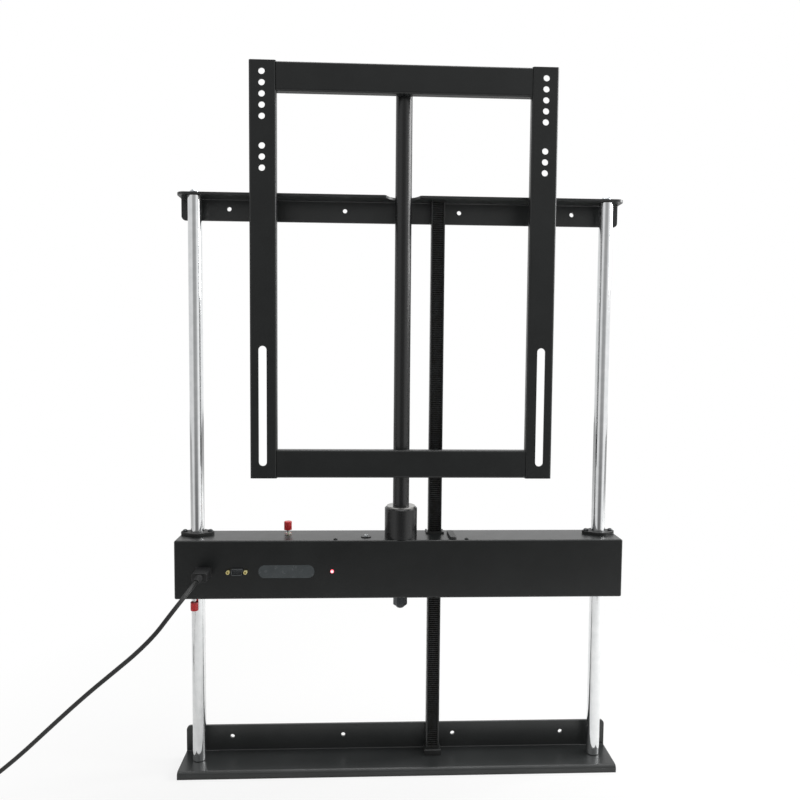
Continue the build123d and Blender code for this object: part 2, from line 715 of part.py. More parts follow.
with BuildPart() as spindle_nut:
    hexagon(level(nut_bottom_z), (0, mast_y), spindle_nut_flats, spindle_nut_height)
    chamfer(edges().group_by(Axis.Z)[0], mast_edge)
    disc(level(nut_top_z), (0, mast_y), spindle_washer_diameter / 2, spindle_washer_thickness)
    disc(level(nut_bottom_z), (0, mast_y), spindle_thread / 2, spindle_nut_height + spindle_washer_thickness,
         Mode.SUBTRACT)
spindle_nut.part.label = "spindle_nut"
export_step(spindle_nut.part, "parts/spindle_nut.step")

# Television frame: two uprights with hole rows and slots, joined by two rails
frame_middle = frame_sheet / 2
upright_half = upright_width / 2
upright_middle_x = frame_width / 2 - upright_half
upper_hole_zs = [frame_top_z - vesa_first_hole - index * vesa_hole_pitch for index in range(vesa_upper_holes)]
lower_hole_zs = [upper_hole_zs[-1] - vesa_row_gap - index * vesa_hole_pitch for index in range(vesa_lower_holes)]
vesa_hole_zs = upper_hole_zs + lower_hole_zs
slot_middle_z = frame_bottom_z + vesa_slot_bottom + vesa_slot_length / 2

for side, sign in (("left", -1), ("right", 1)):
    with BuildPart() as frame_upright:
        with BuildSketch(level(frame_bottom_z)):
            with BuildLine():
                FilletPolyline(
                    (sign * upright_middle_x - upright_half + frame_middle, frame_back_y),
                    (sign * upright_middle_x - upright_half + frame_middle, frame_front_y + frame_middle),
                    (sign * upright_middle_x + upright_half - frame_middle, frame_front_y + frame_middle),
                    (sign * upright_middle_x + upright_half - frame_middle, frame_back_y),
                    radius=frame_bend,
                )
            trace(line_width=frame_sheet)
        extrude(amount=frame_height)
        with BuildSketch(facing_front(frame_front_y - cut_overrun)):
            with Locations([(sign * vesa_spacing / 2, z) for z in vesa_hole_zs]):
                Circle(vesa_hole_diameter / 2)
            with Locations((sign * vesa_spacing / 2, slot_middle_z)):
                SlotOverall(vesa_slot_length, vesa_slot_width, rotation=90)
        extrude(amount=-frame_sheet - 2 * cut_overrun, mode=Mode.SUBTRACT)
    frame_upright.part.label = f"frame_upright_{side}"
    export_step(frame_upright.part, f"parts/frame_upright_{side}.step")

rail_half_length = upright_middle_x - upright_half

for height, middle_z in zip(("bottom", "top"), rail_middles):
    with BuildPart() as frame_rail:
        with BuildSketch(across(0)):
            with BuildLine():
                FilletPolyline(
                    (frame_back_y, middle_z - rail_height / 2 + frame_middle),
                    (frame_front_y + frame_middle, middle_z - rail_height / 2 + frame_middle),
                    (frame_front_y + frame_middle, middle_z + rail_height / 2 - frame_middle),
                    (frame_back_y, middle_z + rail_height / 2 - frame_middle),
                    radius=frame_bend,
                )
            trace(line_width=frame_sheet)
        extrude(amount=rail_half_length, both=True)
    frame_rail.part.label = f"frame_rail_{height}"
    export_step(frame_rail.part, f"parts/frame_rail_{height}.step")

# Saddles in the rails, grooved for the mast and screwed from the rear
saddle_width = 44.0
saddle_wrap = 5.0
saddle_edge = 1.0

with BuildPart() as mast_saddles:
    for middle_z in rail_middles:
        block((-saddle_width / 2, saddle_width / 2),
              (frame_front_y + frame_sheet, frame_back_y + saddle_wrap),
              (middle_z - rail_height / 2 + frame_sheet, middle_z + rail_height / 2 - frame_sheet))
    chamfer(edges().filter_by(Axis.Z).group_by(Axis.Y)[-1], saddle_edge)
    chamfer(edges().filter_by(Axis.X).group_by(Axis.Y)[0], frame_bend)
    disc(level(frame_bottom_z), (0, mast_y), mast_radius, frame_height, Mode.SUBTRACT)
    for z in saddle_screw_zs:
        disc(facing_front(frame_front_y + frame_sheet), (0, z), saddle_screw_diameter / 2,
             -frame_depth, Mode.SUBTRACT)
mast_saddles.part.label = "mast_saddles"
export_step(mast_saddles.part, "parts/mast_saddles.step")

with BuildPart() as saddle_screws:
    for z in saddle_screw_zs:
        panel_screw(facing_back(mast_y + mast_radius), (0, z), saddle_screw_diameter, saddle_screw_depth,
                    saddle_screw_head, saddle_screw_head_height, saddle_socket_flats)
saddle_screws.part.label = "saddle_screws"
export_step(saddle_screws.part, "parts/saddle_screws.step")

# Drive: motor, gearbox, shaft and pinion on one axis across the housing
shaft_diameter = 8.0
shaft_radius = shaft_diameter / 2
outboard_thickness = 8.0
outboard_gap = 1.0
outboard_half_depth = 13.0
outboard_cover = 15.0
drive_plate = 3.0
drive_plate_gap = 2.0
drive_plate_half = 23.0
drive_foot_length = 30.0
gearbox_diameter = 42.0
gearbox_length = 44.0
motor_diameter = 38.0
motor_length = 72.0
motor_boss_diameter = 20.0
motor_boss_length = 4.0
shaft_engagement = 16.0
pinion_hub_diameter = 15.0
pinion_hub_length = 5.0
motor_screw_spacing = 31.0
outboard_back_x = slot_left_x - outboard_gap
drive_plate_x = slot_right_x + drive_plate_gap
gearbox_x = drive_plate_x + drive_plate
motor_x = gearbox_x + gearbox_length
shaft_start_x = outboard_back_x - outboard_thickness
shaft_end_x = gearbox_x + shaft_engagement
drive_place = (pinion_y, pinion_z)
drive_plate_top_z = pinion_z + drive_plate_half

with BuildPart() as outboard_bearing:
    block((outboard_back_x - outboard_thickness, outboard_back_x),
          (pinion_y - outboard_half_depth, pinion_y + outboard_half_depth),
          (inner_bottom_z, pinion_z + outboard_cover))
    fillet(edges().filter_by(Axis.X).group_by(Axis.Z)[-1], outboard_half_depth / 2)
    disc(across(shaft_start_x), drive_place, shaft_radius + running_clearance, outboard_thickness,
         Mode.SUBTRACT)
outboard_bearing.part.label = "outboard_bearing"
export_step(outboard_bearing.part, "parts/outboard_bearing.step")

motor_screw_places = [
    (pinion_y + side * motor_screw_spacing / 2, pinion_z + rise * motor_screw_spacing / 2)
    for side in (-1, 1)
    for rise in (-1, 1)
]
motor_screw_shank = 3.0
motor_screw_head = 5.5
motor_screw_height = 1.8
motor_screw_grip = 8.0
motor_socket_flats = 2.0

with BuildPart() as motor_bracket:
    block((drive_plate_x, gearbox_x), (pinion_y - drive_plate_half, pinion_y + drive_plate_half),
          (inner_bottom_z, drive_plate_top_z))
    block((gearbox_x, drive_plate_x + drive_foot_length),
          (pinion_y - drive_plate_half, pinion_y + drive_plate_half),
          (inner_bottom_z, inner_bottom_z + drive_plate))
    disc(across(drive_plate_x), drive_place, shaft_radius + 2 * screw_clearance, drive_plate, Mode.SUBTRACT)
    for place in motor_screw_places:
        disc(across(drive_plate_x), place, motor_screw_shank / 2 + screw_clearance, drive_plate,
             Mode.SUBTRACT)
motor_bracket.part.label = "motor_bracket"
export_step(motor_bracket.part, "parts/motor_bracket.step")

with BuildPart() as gearbox:
    disc(across(gearbox_x), drive_place, gearbox_diameter / 2, gearbox_length)
    chamfer(edges().filter_by(GeomType.CIRCLE), rod_chamfer)
    disc(across(gearbox_x), drive_place, shaft_radius + running_clearance, shaft_engagement + cut_overrun,
         Mode.SUBTRACT)
    for place in motor_screw_places:
        disc(across(gearbox_x), place, motor_screw_shank / 2, motor_screw_grip, Mode.SUBTRACT)
gearbox.part.label = "gearbox"
export_step(gearbox.part, "parts/gearbox.step")

with BuildPart() as motor_screws:
    for y, z in motor_screw_places:
        panel_screw(Plane(origin=(drive_plate_x, 0, 0), x_dir=(0, -1, 0), z_dir=(-1, 0, 0)), (-y, z),
                    motor_screw_shank, drive_plate + motor_screw_grip, motor_screw_head, motor_screw_height,
                    motor_socket_flats)
motor_screws.part.label = "motor_screws"
export_step(motor_screws.part, "parts/motor_screws.step")

with BuildPart() as motor:
    disc(across(motor_x), drive_place, motor_diameter / 2, motor_length)
    chamfer(edges().filter_by(GeomType.CIRCLE), collar_chamfer)
    disc(across(motor_x + motor_length), drive_place, motor_boss_diameter / 2, motor_boss_length)
motor.part.label = "motor"
export_step(motor.part, "parts/motor.step")

with BuildPart() as pinion_shaft:
    disc(across(shaft_start_x), drive_place, shaft_radius, shaft_end_x - shaft_start_x)
    chamfer(edges().filter_by(GeomType.CIRCLE), rod_chamfer / 2)
pinion_shaft.part.label = "pinion_shaft"
export_step(pinion_shaft.part, "parts/pinion_shaft.step")

# Involute teeth with one tooth pointing at the rack
base_circle = pinion_radius * cos(radians(pressure_angle))
tip_circle = pinion_radius + gear_module
root_circle = pinion_radius - (1 + tooth_tip_clearance) * gear_module
pitch_half_angle = (tooth_pitch / 2 - tooth_backlash) / (2 * pinion_radius)
pressure_involute = tan(radians(pressure_angle)) - radians(pressure_angle)
flank_steps = 5


def tooth_half_angle(radius):
    """Half of the angle that a tooth takes up at a radius."""
    roll = sqrt(max(radius ** 2 / base_circle ** 2 - 1, 0))
    return pitch_half_angle + pressure_involute - (roll - atan2(roll, 1))


flank = [(root_circle, tooth_half_angle(base_circle))]
for step in range(flank_steps + 1):
    flank_radius = base_circle + (tip_circle - base_circle) * step / flank_steps
    flank.append((flank_radius, tooth_half_angle(flank_radius)))
pinion_outline = []
for tooth in range(pinion_teeth):
    middle_angle = 2 * pi * tooth / pinion_teeth
    rising_flank = [(radius, middle_angle - half_angle) for radius, half_angle in flank]
    falling_flank = [(radius, middle_angle + half_angle) for radius, half_angle in reversed(flank)]
    for radius, angle in rising_flank + falling_flank:
        pinion_outline.append((pinion_y + radius * cos(angle), pinion_z + radius * sin(angle)))

with BuildPart() as drive_pinion:
    with BuildSketch(across(rack_x - pinion_width / 2)):
        with BuildLine():
            Polyline(*pinion_outline, close=True)
        make_face()
    extrude(amount=pinion_width)
    disc(across(rack_x + pinion_width / 2), drive_place, pinion_hub_diameter / 2, pinion_hub_length)
    disc(across(rack_x - pinion_width / 2), drive_place, shaft_radius, pinion_width + pinion_hub_length,
         Mode.SUBTRACT)
drive_pinion.part.label = "drive_pinion"
export_step(drive_pinion.part, "parts/drive_pinion.step")

# Limit stops: sprung pins that press a switch just before the housing would touch a bracket; each runs
# in a guide whose neck passes the sheet and takes a nut outside
stop_stem_radius = stop_stem_diameter / 2
stop_guide_radius = 4.5
stop_guide_length = 8.0
stop_stem_inside = 11.0
stop_edge = 1.0
upper_cap_top_z = housing_top_z + upper_stop_reach
lower_cap_bottom_z = housing_rest_z - lower_stop_reach

with BuildPart() as stop_guides:
    for place, inner_z, outer_z, side in (
        ((upper_stop_x, upper_stop_y), inner_top_z, housing_top_z, 1),
        ((lower_stop_x, lower_stop_y), inner_bottom_z, housing_rest_z, -1),
    ):
        disc(level(inner_z), place, stop_guide_radius, -side * stop_guide_length)
        disc(level(inner_z), place, stop_neck_diameter / 2, side * housing_sheet)
        hexagon(level(outer_z), place, stop_nut_flats, side * stop_nut_height)
        disc(level(inner_z - side * stop_guide_length), place, stop_stem_radius + running_clearance,
             side * (stop_guide_length + housing_sheet + stop_nut_height), Mode.SUBTRACT)
stop_guides.part.label = "stop_guides"
export_step(stop_guides.part, "parts/stop_guides.step")

with BuildPart() as upper_stop_cap:
    disc(level(upper_cap_top_z), (upper_stop_x, upper_stop_y), stop_diameter / 2, -stop_cap_height)
    fillet(edges().filter_by(GeomType.CIRCLE).group_by(Axis.Z)[-1], stop_edge)
upper_stop_cap.part.label = "upper_stop_cap"
export_step(upper_stop_cap.part, "parts/upper_stop_cap.step")

with BuildPart() as upper_stop_stem:
    disc(level(inner_top_z - stop_stem_inside), (upper_stop_x, upper_stop_y), stop_stem_radius,
         stop_stem_inside + housing_sheet + upper_stop_reach - stop_cap_height)
upper_stop_stem.part.label = "upper_stop_stem"
export_step(upper_stop_stem.part, "parts/upper_stop_stem.step")

with BuildPart() as lower_stop_cap:
    disc(level(lower_cap_bottom_z), (lower_stop_x, lower_stop_y), stop_diameter / 2, stop_cap_height)
    fillet(edges().filter_by(GeomType.CIRCLE).group_by(Axis.Z)[0], stop_edge)
lower_stop_cap.part.label = "lower_stop_cap"
export_step(lower_stop_cap.part, "parts/lower_stop_cap.step")

with BuildPart() as lower_stop_stem:
    disc(level(inner_bottom_z + stop_stem_inside), (lower_stop_x, lower_stop_y), stop_stem_radius,
         stop_cap_height - stop_stem_inside - housing_sheet - lower_stop_reach)
lower_stop_stem.part.label = "lower_stop_stem"
export_step(lower_stop_stem.part, "parts/lower_stop_stem.step")

# A micro switch waits one travel away from each stem
switch_width = 20.0
switch_depth = 10.0
switch_height = 11.0
switch_gap = 0.5
upper_switch_top_z = inner_top_z - stop_stem_inside - stop_travel - switch_gap
lower_switch_bottom_z = inner_bottom_z + stop_stem_inside + stop_travel + switch_gap

with BuildPart() as limit_switches:
    block((upper_stop_x - switch_width / 2, upper_stop_x + switch_width / 2),
          (upper_stop_y - switch_depth / 2, upper_stop_y + switch_depth / 2),
          (upper_switch_top_z - switch_height, upper_switch_top_z))
    block((lower_stop_x - switch_width / 2, lower_stop_x + switch_width / 2),
          (lower_stop_y - switch_depth / 2, lower_stop_y + switch_depth / 2),
          (lower_switch_bottom_z, lower_switch_bottom_z + switch_height))
    chamfer(edges().filter_by(Axis.Z), stop_edge)
limit_switches.part.label = "limit_switches"
export_step(limit_switches.part, "parts/limit_switches.step")

# What shows on the housing's front
inlet_recess = 11.0
inlet_recess_margin = 3.0
inlet_pin_diameter = 2.4
inlet_pin_spacing = 8.6
inlet_pin_length = 8.0
plug_side_clearance = 0.25
inlet_front_y = housing_front_y
inlet_back_y = inlet_front_y + inlet_length
nose_width = inlet_width - 2 * inlet_recess_margin - 2 * plug_side_clearance
nose_height = inlet_height - 2 * inlet_recess_margin - 2 * plug_side_clearance

with BuildPart() as power_inlet:
    with BuildSketch(facing_front(inlet_back_y)):
        with Locations((inlet_x, front_line_z)):
            RectangleRounded(inlet_width, inlet_height, housing_bend)
    extrude(amount=inlet_length)
    with BuildSketch(facing_front(inlet_front_y)):
        with Locations((inlet_x, front_line_z)):
            SlotOverall(inlet_width - 2 * inlet_recess_margin, inlet_height - 2 * inlet_recess_margin)
    extrude(amount=-inlet_recess, mode=Mode.SUBTRACT)
    with BuildSketch(facing_front(inlet_front_y + inlet_recess)):
        with Locations([(inlet_x + side * inlet_pin_spacing / 2, front_line_z) for side in (-1, 1)]):
            Circle(inlet_pin_diameter / 2)
    extrude(amount=inlet_pin_length)
power_inlet.part.label = "power_inlet"
export_step(power_inlet.part, "parts/power_inlet.step")

# Control board on stand-offs behind the front, with what is soldered to it
board_standoff = 6.0
board_thickness = 1.6
board_left_inset = 65.5
board_left_x = board_left_inset - housing_half
board_right_inset = 239.5
board_right_x = board_right_inset - housing_half
board_bottom_z = 281.0
board_top_z = 349.0
board_hole_inset = 6.0
standoff_diameter = 6.0
board_front_y = inner_front_y + board_standoff
board_back_y = board_front_y + board_thickness

with BuildPart() as control_board:
    block((board_left_x, board_right_x), (board_front_y, board_back_y), (board_bottom_z, board_top_z))
control_board.part.label = "control_board"
export_step(control_board.part, "parts/control_board.step")

relay_size = (19.0, 15.5, 15.0)
relay_gap = 5.0
relay_count = 2
capacitor_count = 2
relay_inset = 192.5
relay_x = relay_inset - housing_half
transformer_size = (42.0, 30.0, 32.0)
transformer_inset = 102.5
transformer_x = transformer_inset - housing_half
capacitor_diameter = 12.0
capacitor_length = 20.0
capacitor_spacing = 15.0
capacitor_inset = 139.5
capacitor_x = capacitor_inset - housing_half
capacitor_drop = 20.0

with BuildPart() as board_parts:
    for x in (board_left_x + board_hole_inset, board_right_x - board_hole_inset):
        for z in (board_bottom_z + board_hole_inset, board_top_z - board_hole_inset):
            disc(facing_back(inner_front_y), (-x, z), standoff_diameter / 2, board_standoff)
    for index in range(relay_count):
        relay_left_x = relay_x + index * (relay_size[0] + relay_gap)
        block((relay_left_x, relay_left_x + relay_size[0]), (board_back_y, board_back_y + relay_size[1]),
              (front_line_z, front_line_z + relay_size[2]))
    block((transformer_x - transformer_size[0] / 2, transformer_x + transformer_size[0] / 2),
          (board_back_y, board_back_y + transformer_size[1]),
          (front_line_z - transformer_size[2] / 2, front_line_z + transformer_size[2] / 2))
    for index in range(capacitor_count):
        disc(facing_back(board_back_y),
             (-capacitor_x - index * capacitor_spacing, front_line_z - capacitor_drop),
             capacitor_diameter / 2, capacitor_length)
board_parts.part.label = "board_parts"
export_step(board_parts.part, "parts/board_parts.step")

# Infrared window: an obround flush with the front and a wider rim behind it
rim_thickness = 1.5

with BuildPart() as ir_window:
    with BuildSketch(facing_front(inner_front_y)):
        with Locations((window_x, front_line_z)):
            SlotOverall(window_width, window_height)
    extrude(amount=housing_sheet)
    with BuildSketch(facing_front(inner_front_y)):
        with Locations((window_x, front_line_z)):
            SlotOverall(window_width + 2 * window_rim, window_height + 2 * window_rim)
    extrude(amount=-rim_thickness)
ir_window.part.label = "ir_window"
export_step(ir_window.part, "parts/ir_window.step")

lamp_dome = 1.6
lamp_flange = 0.4

with BuildPart() as status_lamp:
    disc(facing_front(board_front_y), (lamp_x, front_line_z), lamp_diameter / 2,
         board_standoff + housing_sheet)
    disc(facing_front(board_front_y), (lamp_x, front_line_z), lamp_diameter / 2 + lamp_flange, lamp_flange)
    with Locations((lamp_x, housing_front_y, front_line_z)):
        Sphere(lamp_diameter / 2)
    block((lamp_x - lamp_diameter, lamp_x + lamp_diameter),
          (housing_front_y - lamp_diameter, housing_front_y - lamp_dome),
          (front_line_z - lamp_diameter, front_line_z + lamp_diameter), Mode.SUBTRACT)
status_lamp.part.label = "status_lamp"
export_step(status_lamp.part, "parts/status_lamp.step")

# Nine-way connector: a shell with slanted sides, its insert with pins, and two screw posts
serial_reach = 3.0
serial_slant = 1.2
serial_corner = 1.5
serial_wall = 0.5
serial_front_y = housing_front_y - serial_reach
pin_diameter = 1.0
pin_pitch = 2.77
pin_row_gap = 2.84
pin_reach = 4.5
insert_front_y = housing_front_y + 2 * housing_sheet


def serial_outline(inset):
    """The connector's outline, wider at the top, drawn smaller by the inset."""
    half_top = serial_width / 2 - inset
    half_bottom = serial_width / 2 - serial_slant - inset
    half_height = serial_height / 2 - inset
    with BuildLine() as outline:
        Polyline(
            (serial_x - half_bottom, front_line_z - half_height),
            (serial_x + half_bottom, front_line_z - half_height),
            (serial_x + half_top, front_line_z + half_height),
            (serial_x - half_top, front_line_z + half_height),
            close=True,
        )
    return outline.line


with BuildPart() as serial_shell:
    with BuildSketch(facing_front(board_front_y)) as shell_profile:
        add(serial_outline(0))
        make_face()
        fillet(vertices(), serial_corner)
    extrude(amount=board_front_y - serial_front_y)
    with BuildSketch(facing_front(serial_front_y)) as shell_bore:
        add(serial_outline(serial_wall))
        make_face()
        fillet(vertices(), serial_corner - serial_wall)
    extrude(amount=serial_front_y - insert_front_y, mode=Mode.SUBTRACT)
serial_shell.part.label = "serial_shell"
export_step(serial_shell.part, "parts/serial_shell.step")

pin_places = [(serial_x + (index - 2) * pin_pitch, front_line_z + pin_row_gap / 2) for index in range(5)]
pin_places += [(serial_x + (index - 3 / 2) * pin_pitch, front_line_z - pin_row_gap / 2) for index in range(4)]

with BuildPart() as serial_pins:
    for place in pin_places:
        disc(facing_front(insert_front_y), place, pin_diameter / 2, pin_reach)
serial_pins.part.label = "serial_pins"
export_step(serial_pins.part, "parts/serial_pins.step")

post_flange = 0.5

with BuildPart() as connector_posts:
    for side in (-1, 1):
        place = (serial_x + side * serial_post_spacing / 2, front_line_z)
        hexagon(facing_front(housing_front_y), place, post_flats, connector_post_height)
        disc(facing_front(board_front_y), place, post_thread / 2, board_front_y - housing_front_y)
        disc(facing_front(housing_front_y - connector_post_height), place, post_thread / 2,
             -connector_post_height + post_flange, Mode.SUBTRACT)
connector_posts.part.label = "connector_posts"
export_step(connector_posts.part, "parts/connector_posts.step")

# Small inner brackets: two cleats that take the front screws, and the arms that carry the switches
cleat_width = 16.0
cleat_depth = 5.5
cleat_height = 5.0
switch_arm = 4.0

with BuildPart() as inner_brackets:
    for side in (-1, 1):
        x = side * top_screw_x
        block((x - cleat_width / 2, x + cleat_width / 2), (inner_front_y, inner_front_y + cleat_depth),
              (inner_top_z - cleat_height, inner_top_z))
        disc(level(inner_top_z), (x, housing_front_y + top_screw_inset), top_screw_shank / 2, -cleat_height,
             Mode.SUBTRACT)
    for x, y, z_range in (
        (upper_stop_x, upper_stop_y, (upper_switch_top_z - switch_height, inner_top_z)),
        (lower_stop_x, lower_stop_y, (inner_bottom_z, lower_switch_bottom_z + switch_height)),
    ):
        block((x - switch_arm, x + switch_arm), (y + switch_depth / 2, y + switch_depth / 2 + housing_sheet),
              z_range)
inner_brackets.part.label = "inner_brackets"
export_step(inner_brackets.part, "parts/inner_brackets.step")

# Screws and a cable clip on the housing's top
with BuildPart() as top_screws:
    for side in (-1, 1):
        panel_screw(level(housing_top_z), (side * top_screw_x, housing_front_y + top_screw_inset),
                    top_screw_shank, top_screw_length, top_screw_head, top_screw_height, top_socket_flats)
    disc(level(housing_top_z), (earth_screw_x, earth_screw_y), earth_washer_diameter / 2,
         earth_washer_thickness)
    panel_screw(level(housing_top_z + earth_washer_thickness), (earth_screw_x, earth_screw_y),
                top_screw_shank, top_screw_length, top_screw_head, earth_screw_height, top_socket_flats)
top_screws.part.label = "top_screws"
export_step(top_screws.part, "parts/top_screws.step")

clip_width = 10.0
clip_length = 42.0
clip_height = 4.0
clip_x = 76.0
clip_middle_y = -6.0
clip_turn = 1.0

with BuildPart() as top_clip:
    with BuildSketch(level(housing_top_z)):
        with Locations(Location((clip_x, clip_middle_y), clip_turn)):
            RectangleRounded(clip_width, clip_length, clip_width / 3)
    extrude(amount=clip_height)
    fillet(faces().sort_by(Axis.Z)[-1].edges(), stop_edge)
top_clip.part.label = "top_clip"
export_step(top_clip.part, "parts/top_clip.step")

# Supply lead: an appliance plug in the inlet, a free run to the floor, a coil and a mains plug
cord_diameter = 6.0
plug_width = 22.0
plug_height = 13.5
plug_length = 28.0
plug_corner = 4.0
relief_length = 20.0
relief_root_diameter = 10.0
relief_tip_diameter = 8.0
cord_exit_y = housing_front_y - plug_length - relief_length

with BuildPart() as supply_plug:
    with BuildSketch(facing_front(housing_front_y)):
        with Locations((inlet_x, front_line_z)):
            RectangleRounded(plug_width, plug_height, plug_corner)
    extrude(amount=plug_length)
    fillet(faces().sort_by(Axis.Y)[0].edges(), stop_edge)
    with BuildSketch(facing_front(housing_front_y + inlet_recess - inlet_pin_length)):
        with Locations((inlet_x, front_line_z)):
            SlotOverall(nose_width, nose_height)
    extrude(amount=inlet_recess - inlet_pin_length)
    taper(facing_front(housing_front_y - plug_length), (inlet_x, front_line_z), relief_root_diameter / 2,
          relief_tip_diameter / 2, relief_length)
supply_plug.part.label = "supply_plug"
export_step(supply_plug.part, "parts/supply_plug.step")

# The coil lies on the floor beside the stand: it spirals in on one layer, climbs and spirals out on the next
coil_lift = 1.0
straight_exit = 14.0
coil_step = 6.6
coil_outer_radius = 39.6
coil_turns_each_way = 2.25
coil_climb_start = 2.0
coil_climb_end = 2.5
coil_x = -722.0
coil_front_y = -80.0
coil_tail = 38.0
quarters_per_turn = 4
cord_radius = cord_diameter / 2
coil_lower_z = cord_radius + coil_lift
coil_y = coil_front_y + coil_outer_radius
coil_turns = 2 * coil_turns_each_way
coil_rate = coil_step / (2 * pi)

# Each point is chosen by hand along the run, from the plug down to the floor and on to the coil
run_points = [
    (inlet_x, cord_exit_y, front_line_z),
    (inlet_x, cord_exit_y - straight_exit, front_line_z),
    (-288.7, -106.8, 307.3),
    (-296.4, -119.9, 297.6),
    (-308.5, -128.5, 282.0),
    (-325.0, -130.5, 260.0),
    (-351.5, -126.0, 233.0),
    (-380.0, -119.0, 208.0),
    (-424.0, -111.0, 170.0),
    (-470.0, -104.0, 127.0),
    (-519.0, -97.0, 80.0),
    (-566.0, -91.0, 41.0),
    (-609.0, -85.0, 15.0),
    (-648.0, -81.5, coil_lower_z),
    (-684.0, coil_front_y, coil_lower_z),
    (coil_x + cord_diameter, coil_front_y, coil_lower_z),
]
arc_share = 0.45
run_lengths = [(Vector(*end) - Vector(*start)).length for start, end in zip(run_points, run_points[1:])]
run_radii = []
for before, corner, after in zip(run_points, run_points[1:], run_points[2:]):
    turn = radians((Vector(*corner) - Vector(*before)).get_angle(Vector(*after) - Vector(*corner)))
    shorter = min((Vector(*corner) - Vector(*before)).length, (Vector(*after) - Vector(*corner)).length)
    run_radii.append(arc_share * shorter / tan(turn / 2))

with BuildPart() as cord_run:
    with BuildLine() as run_path:
        FilletPolyline(*run_points, radius=run_radii)
    with BuildSketch(Plane(run_path.line @ 0, z_dir=run_path.line % 0)):
        Circle(cord_radius)
    sweep(path=run_path.line)
run_length = run_path.wire().length
cord_run.part.label = "cord_run"
export_step(cord_run.part, "parts/cord_run.step")
print("run lengths", [round(length, 1) for length in run_lengths])
print("run radii", [round(radius, 1) for radius in run_radii])
print("run volume", cord_run.part.volume, "section times length", pi * cord_radius ** 2 * run_length)


def coil_state(turns):
    """The coil's point and direction after a number of turns."""
    angle = -pi / 2 - 2 * pi * turns
    inward = min(turns, coil_turns - turns)
    radius = coil_outer_radius - coil_step * inward
    climb = min(max((turns - coil_climb_start) / (coil_climb_end - coil_climb_start), 0), 1)
    at_end = turns in (0, coil_turns, coil_turns_each_way)
    drift = 0 if at_end else (coil_rate if turns < coil_turns_each_way else -coil_rate)
    climb_rate = sin(pi * climb) * coil_step / (4 * (coil_climb_end - coil_climb_start))
    point = Vector(
        coil_x + radius * cos(angle),
        coil_y + radius * sin(angle),
        coil_lower_z + coil_step * (1 - cos(pi * climb)) / 2,
    )
    direction = Vector(
        radius * sin(angle) - drift * cos(angle),
        -radius * cos(angle) - drift * sin(angle),
        climb_rate,
    )
    return point, direction.normalized()


def biarc(start, start_way, end, end_way):
    """Two arcs that join two points in the directions given there."""
    chord = end - start
    ways = start_way + end_way
    bend = 2 * (1 - start_way.dot(end_way))
    reach = (sqrt(chord.dot(ways) ** 2 + bend * chord.dot(chord)) - chord.dot(ways)) / bend
    first_corner = start + start_way * reach
    second_corner = end - end_way * reach
    joint = (first_corner + second_corner) / 2
    TangentArc(start, joint, tangent=start_way)
    TangentArc(joint, end, tangent=second_corner - first_corner)


coil_quarters = int(coil_turns * quarters_per_turn)
coil_states = [coil_state(index / quarters_per_turn) for index in range(coil_quarters + 1)]

with BuildPart() as cord_coil:
    with BuildLine() as coil_path:
        Line(run_points[-1], coil_states[0][0])
        for (start, start_way), (end, end_way) in zip(coil_states, coil_states[1:]):
            biarc(start, start_way, end, end_way)
        Line(coil_states[-1][0], coil_states[-1][0] + Vector(coil_tail, 0, 0))
    with BuildSketch(Plane(run_points[-1], z_dir=(-1, 0, 0))):
        Circle(cord_radius)
    sweep(path=coil_path.line)
cord_coil.part.label = "cord_coil"
export_step(cord_coil.part, "parts/cord_coil.step")

# The least gap between turns, measured on points along the path
samples_per_edge = 14
coil_samples = []
walked = 0
for edge in coil_path.line.edges():
    for index in range(samples_per_edge):
        coil_samples.append((walked + edge.length * index / samples_per_edge, edge @ (index / samples_per_edge)))
    walked += edge.length
least_gap = min(
    (second - first).length - cord_diameter
    for position, (distance, first) in enumerate(coil_samples)
    for other_distance, second in coil_samples[position + 1:]
    if other_distance - distance > pi * cord_diameter
)
print("coil length", walked, "least gap between turns", least_gap)
print("coil volume", cord_coil.part.volume, "section times length", pi * cord_radius ** 2 * walked)
print("lead length", walked + run_length)

# Mains plug with two flat blades, lying at the end of the coil's tail
mains_plug_length = 32.0
mains_plug_width = 26.0
mains_plug_height = 21.0
mains_plug_corner = 5.0
mains_plug_neck = 10.0
blade_length = 17.0
blade_width = 6.3
blade_thickness = 1.5
blade_spacing = 12.7
mains_plug_x = coil_x + coil_tail
mains_plug_y = coil_y + coil_outer_radius
cord_end_z = coil_lower_z + coil_step

with BuildPart() as mains_plug:
    with BuildSketch(across(mains_plug_x + mains_plug_neck)):
        with Locations((mains_plug_y, cord_end_z)):
            RectangleRounded(mains_plug_width, mains_plug_height, mains_plug_corner)
    extrude(amount=mains_plug_length - mains_plug_neck)
    with BuildSketch(across(mains_plug_x)):
        with Locations((mains_plug_y, cord_end_z)):
            RectangleRounded(mains_plug_width / 2, mains_plug_height / 2, mains_plug_corner / 2)
    with BuildSketch(across(mains_plug_x + mains_plug_neck)):
        with Locations((mains_plug_y, cord_end_z)):
            RectangleRounded(mains_plug_width, mains_plug_height, mains_plug_corner)
    loft()
mains_plug.part.label = "mains_plug"
export_step(mains_plug.part, "parts/mains_plug.step")

with BuildPart() as mains_blades:
    blade_x = (mains_plug_x + mains_plug_length, mains_plug_x + mains_plug_length + blade_length)
    for side in (-1, 1):
        blade_y = mains_plug_y + side * blade_spacing / 2
        block(blade_x, (blade_y - blade_thickness / 2, blade_y + blade_thickness / 2),
              (cord_end_z - blade_width / 2, cord_end_z + blade_width / 2))
mains_blades.part.label = "mains_blades"
export_step(mains_blades.part, "parts/mains_blades.step")
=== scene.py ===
"""The look of a television lift: finishes, supply lead and welds, with a studio and a camera."""

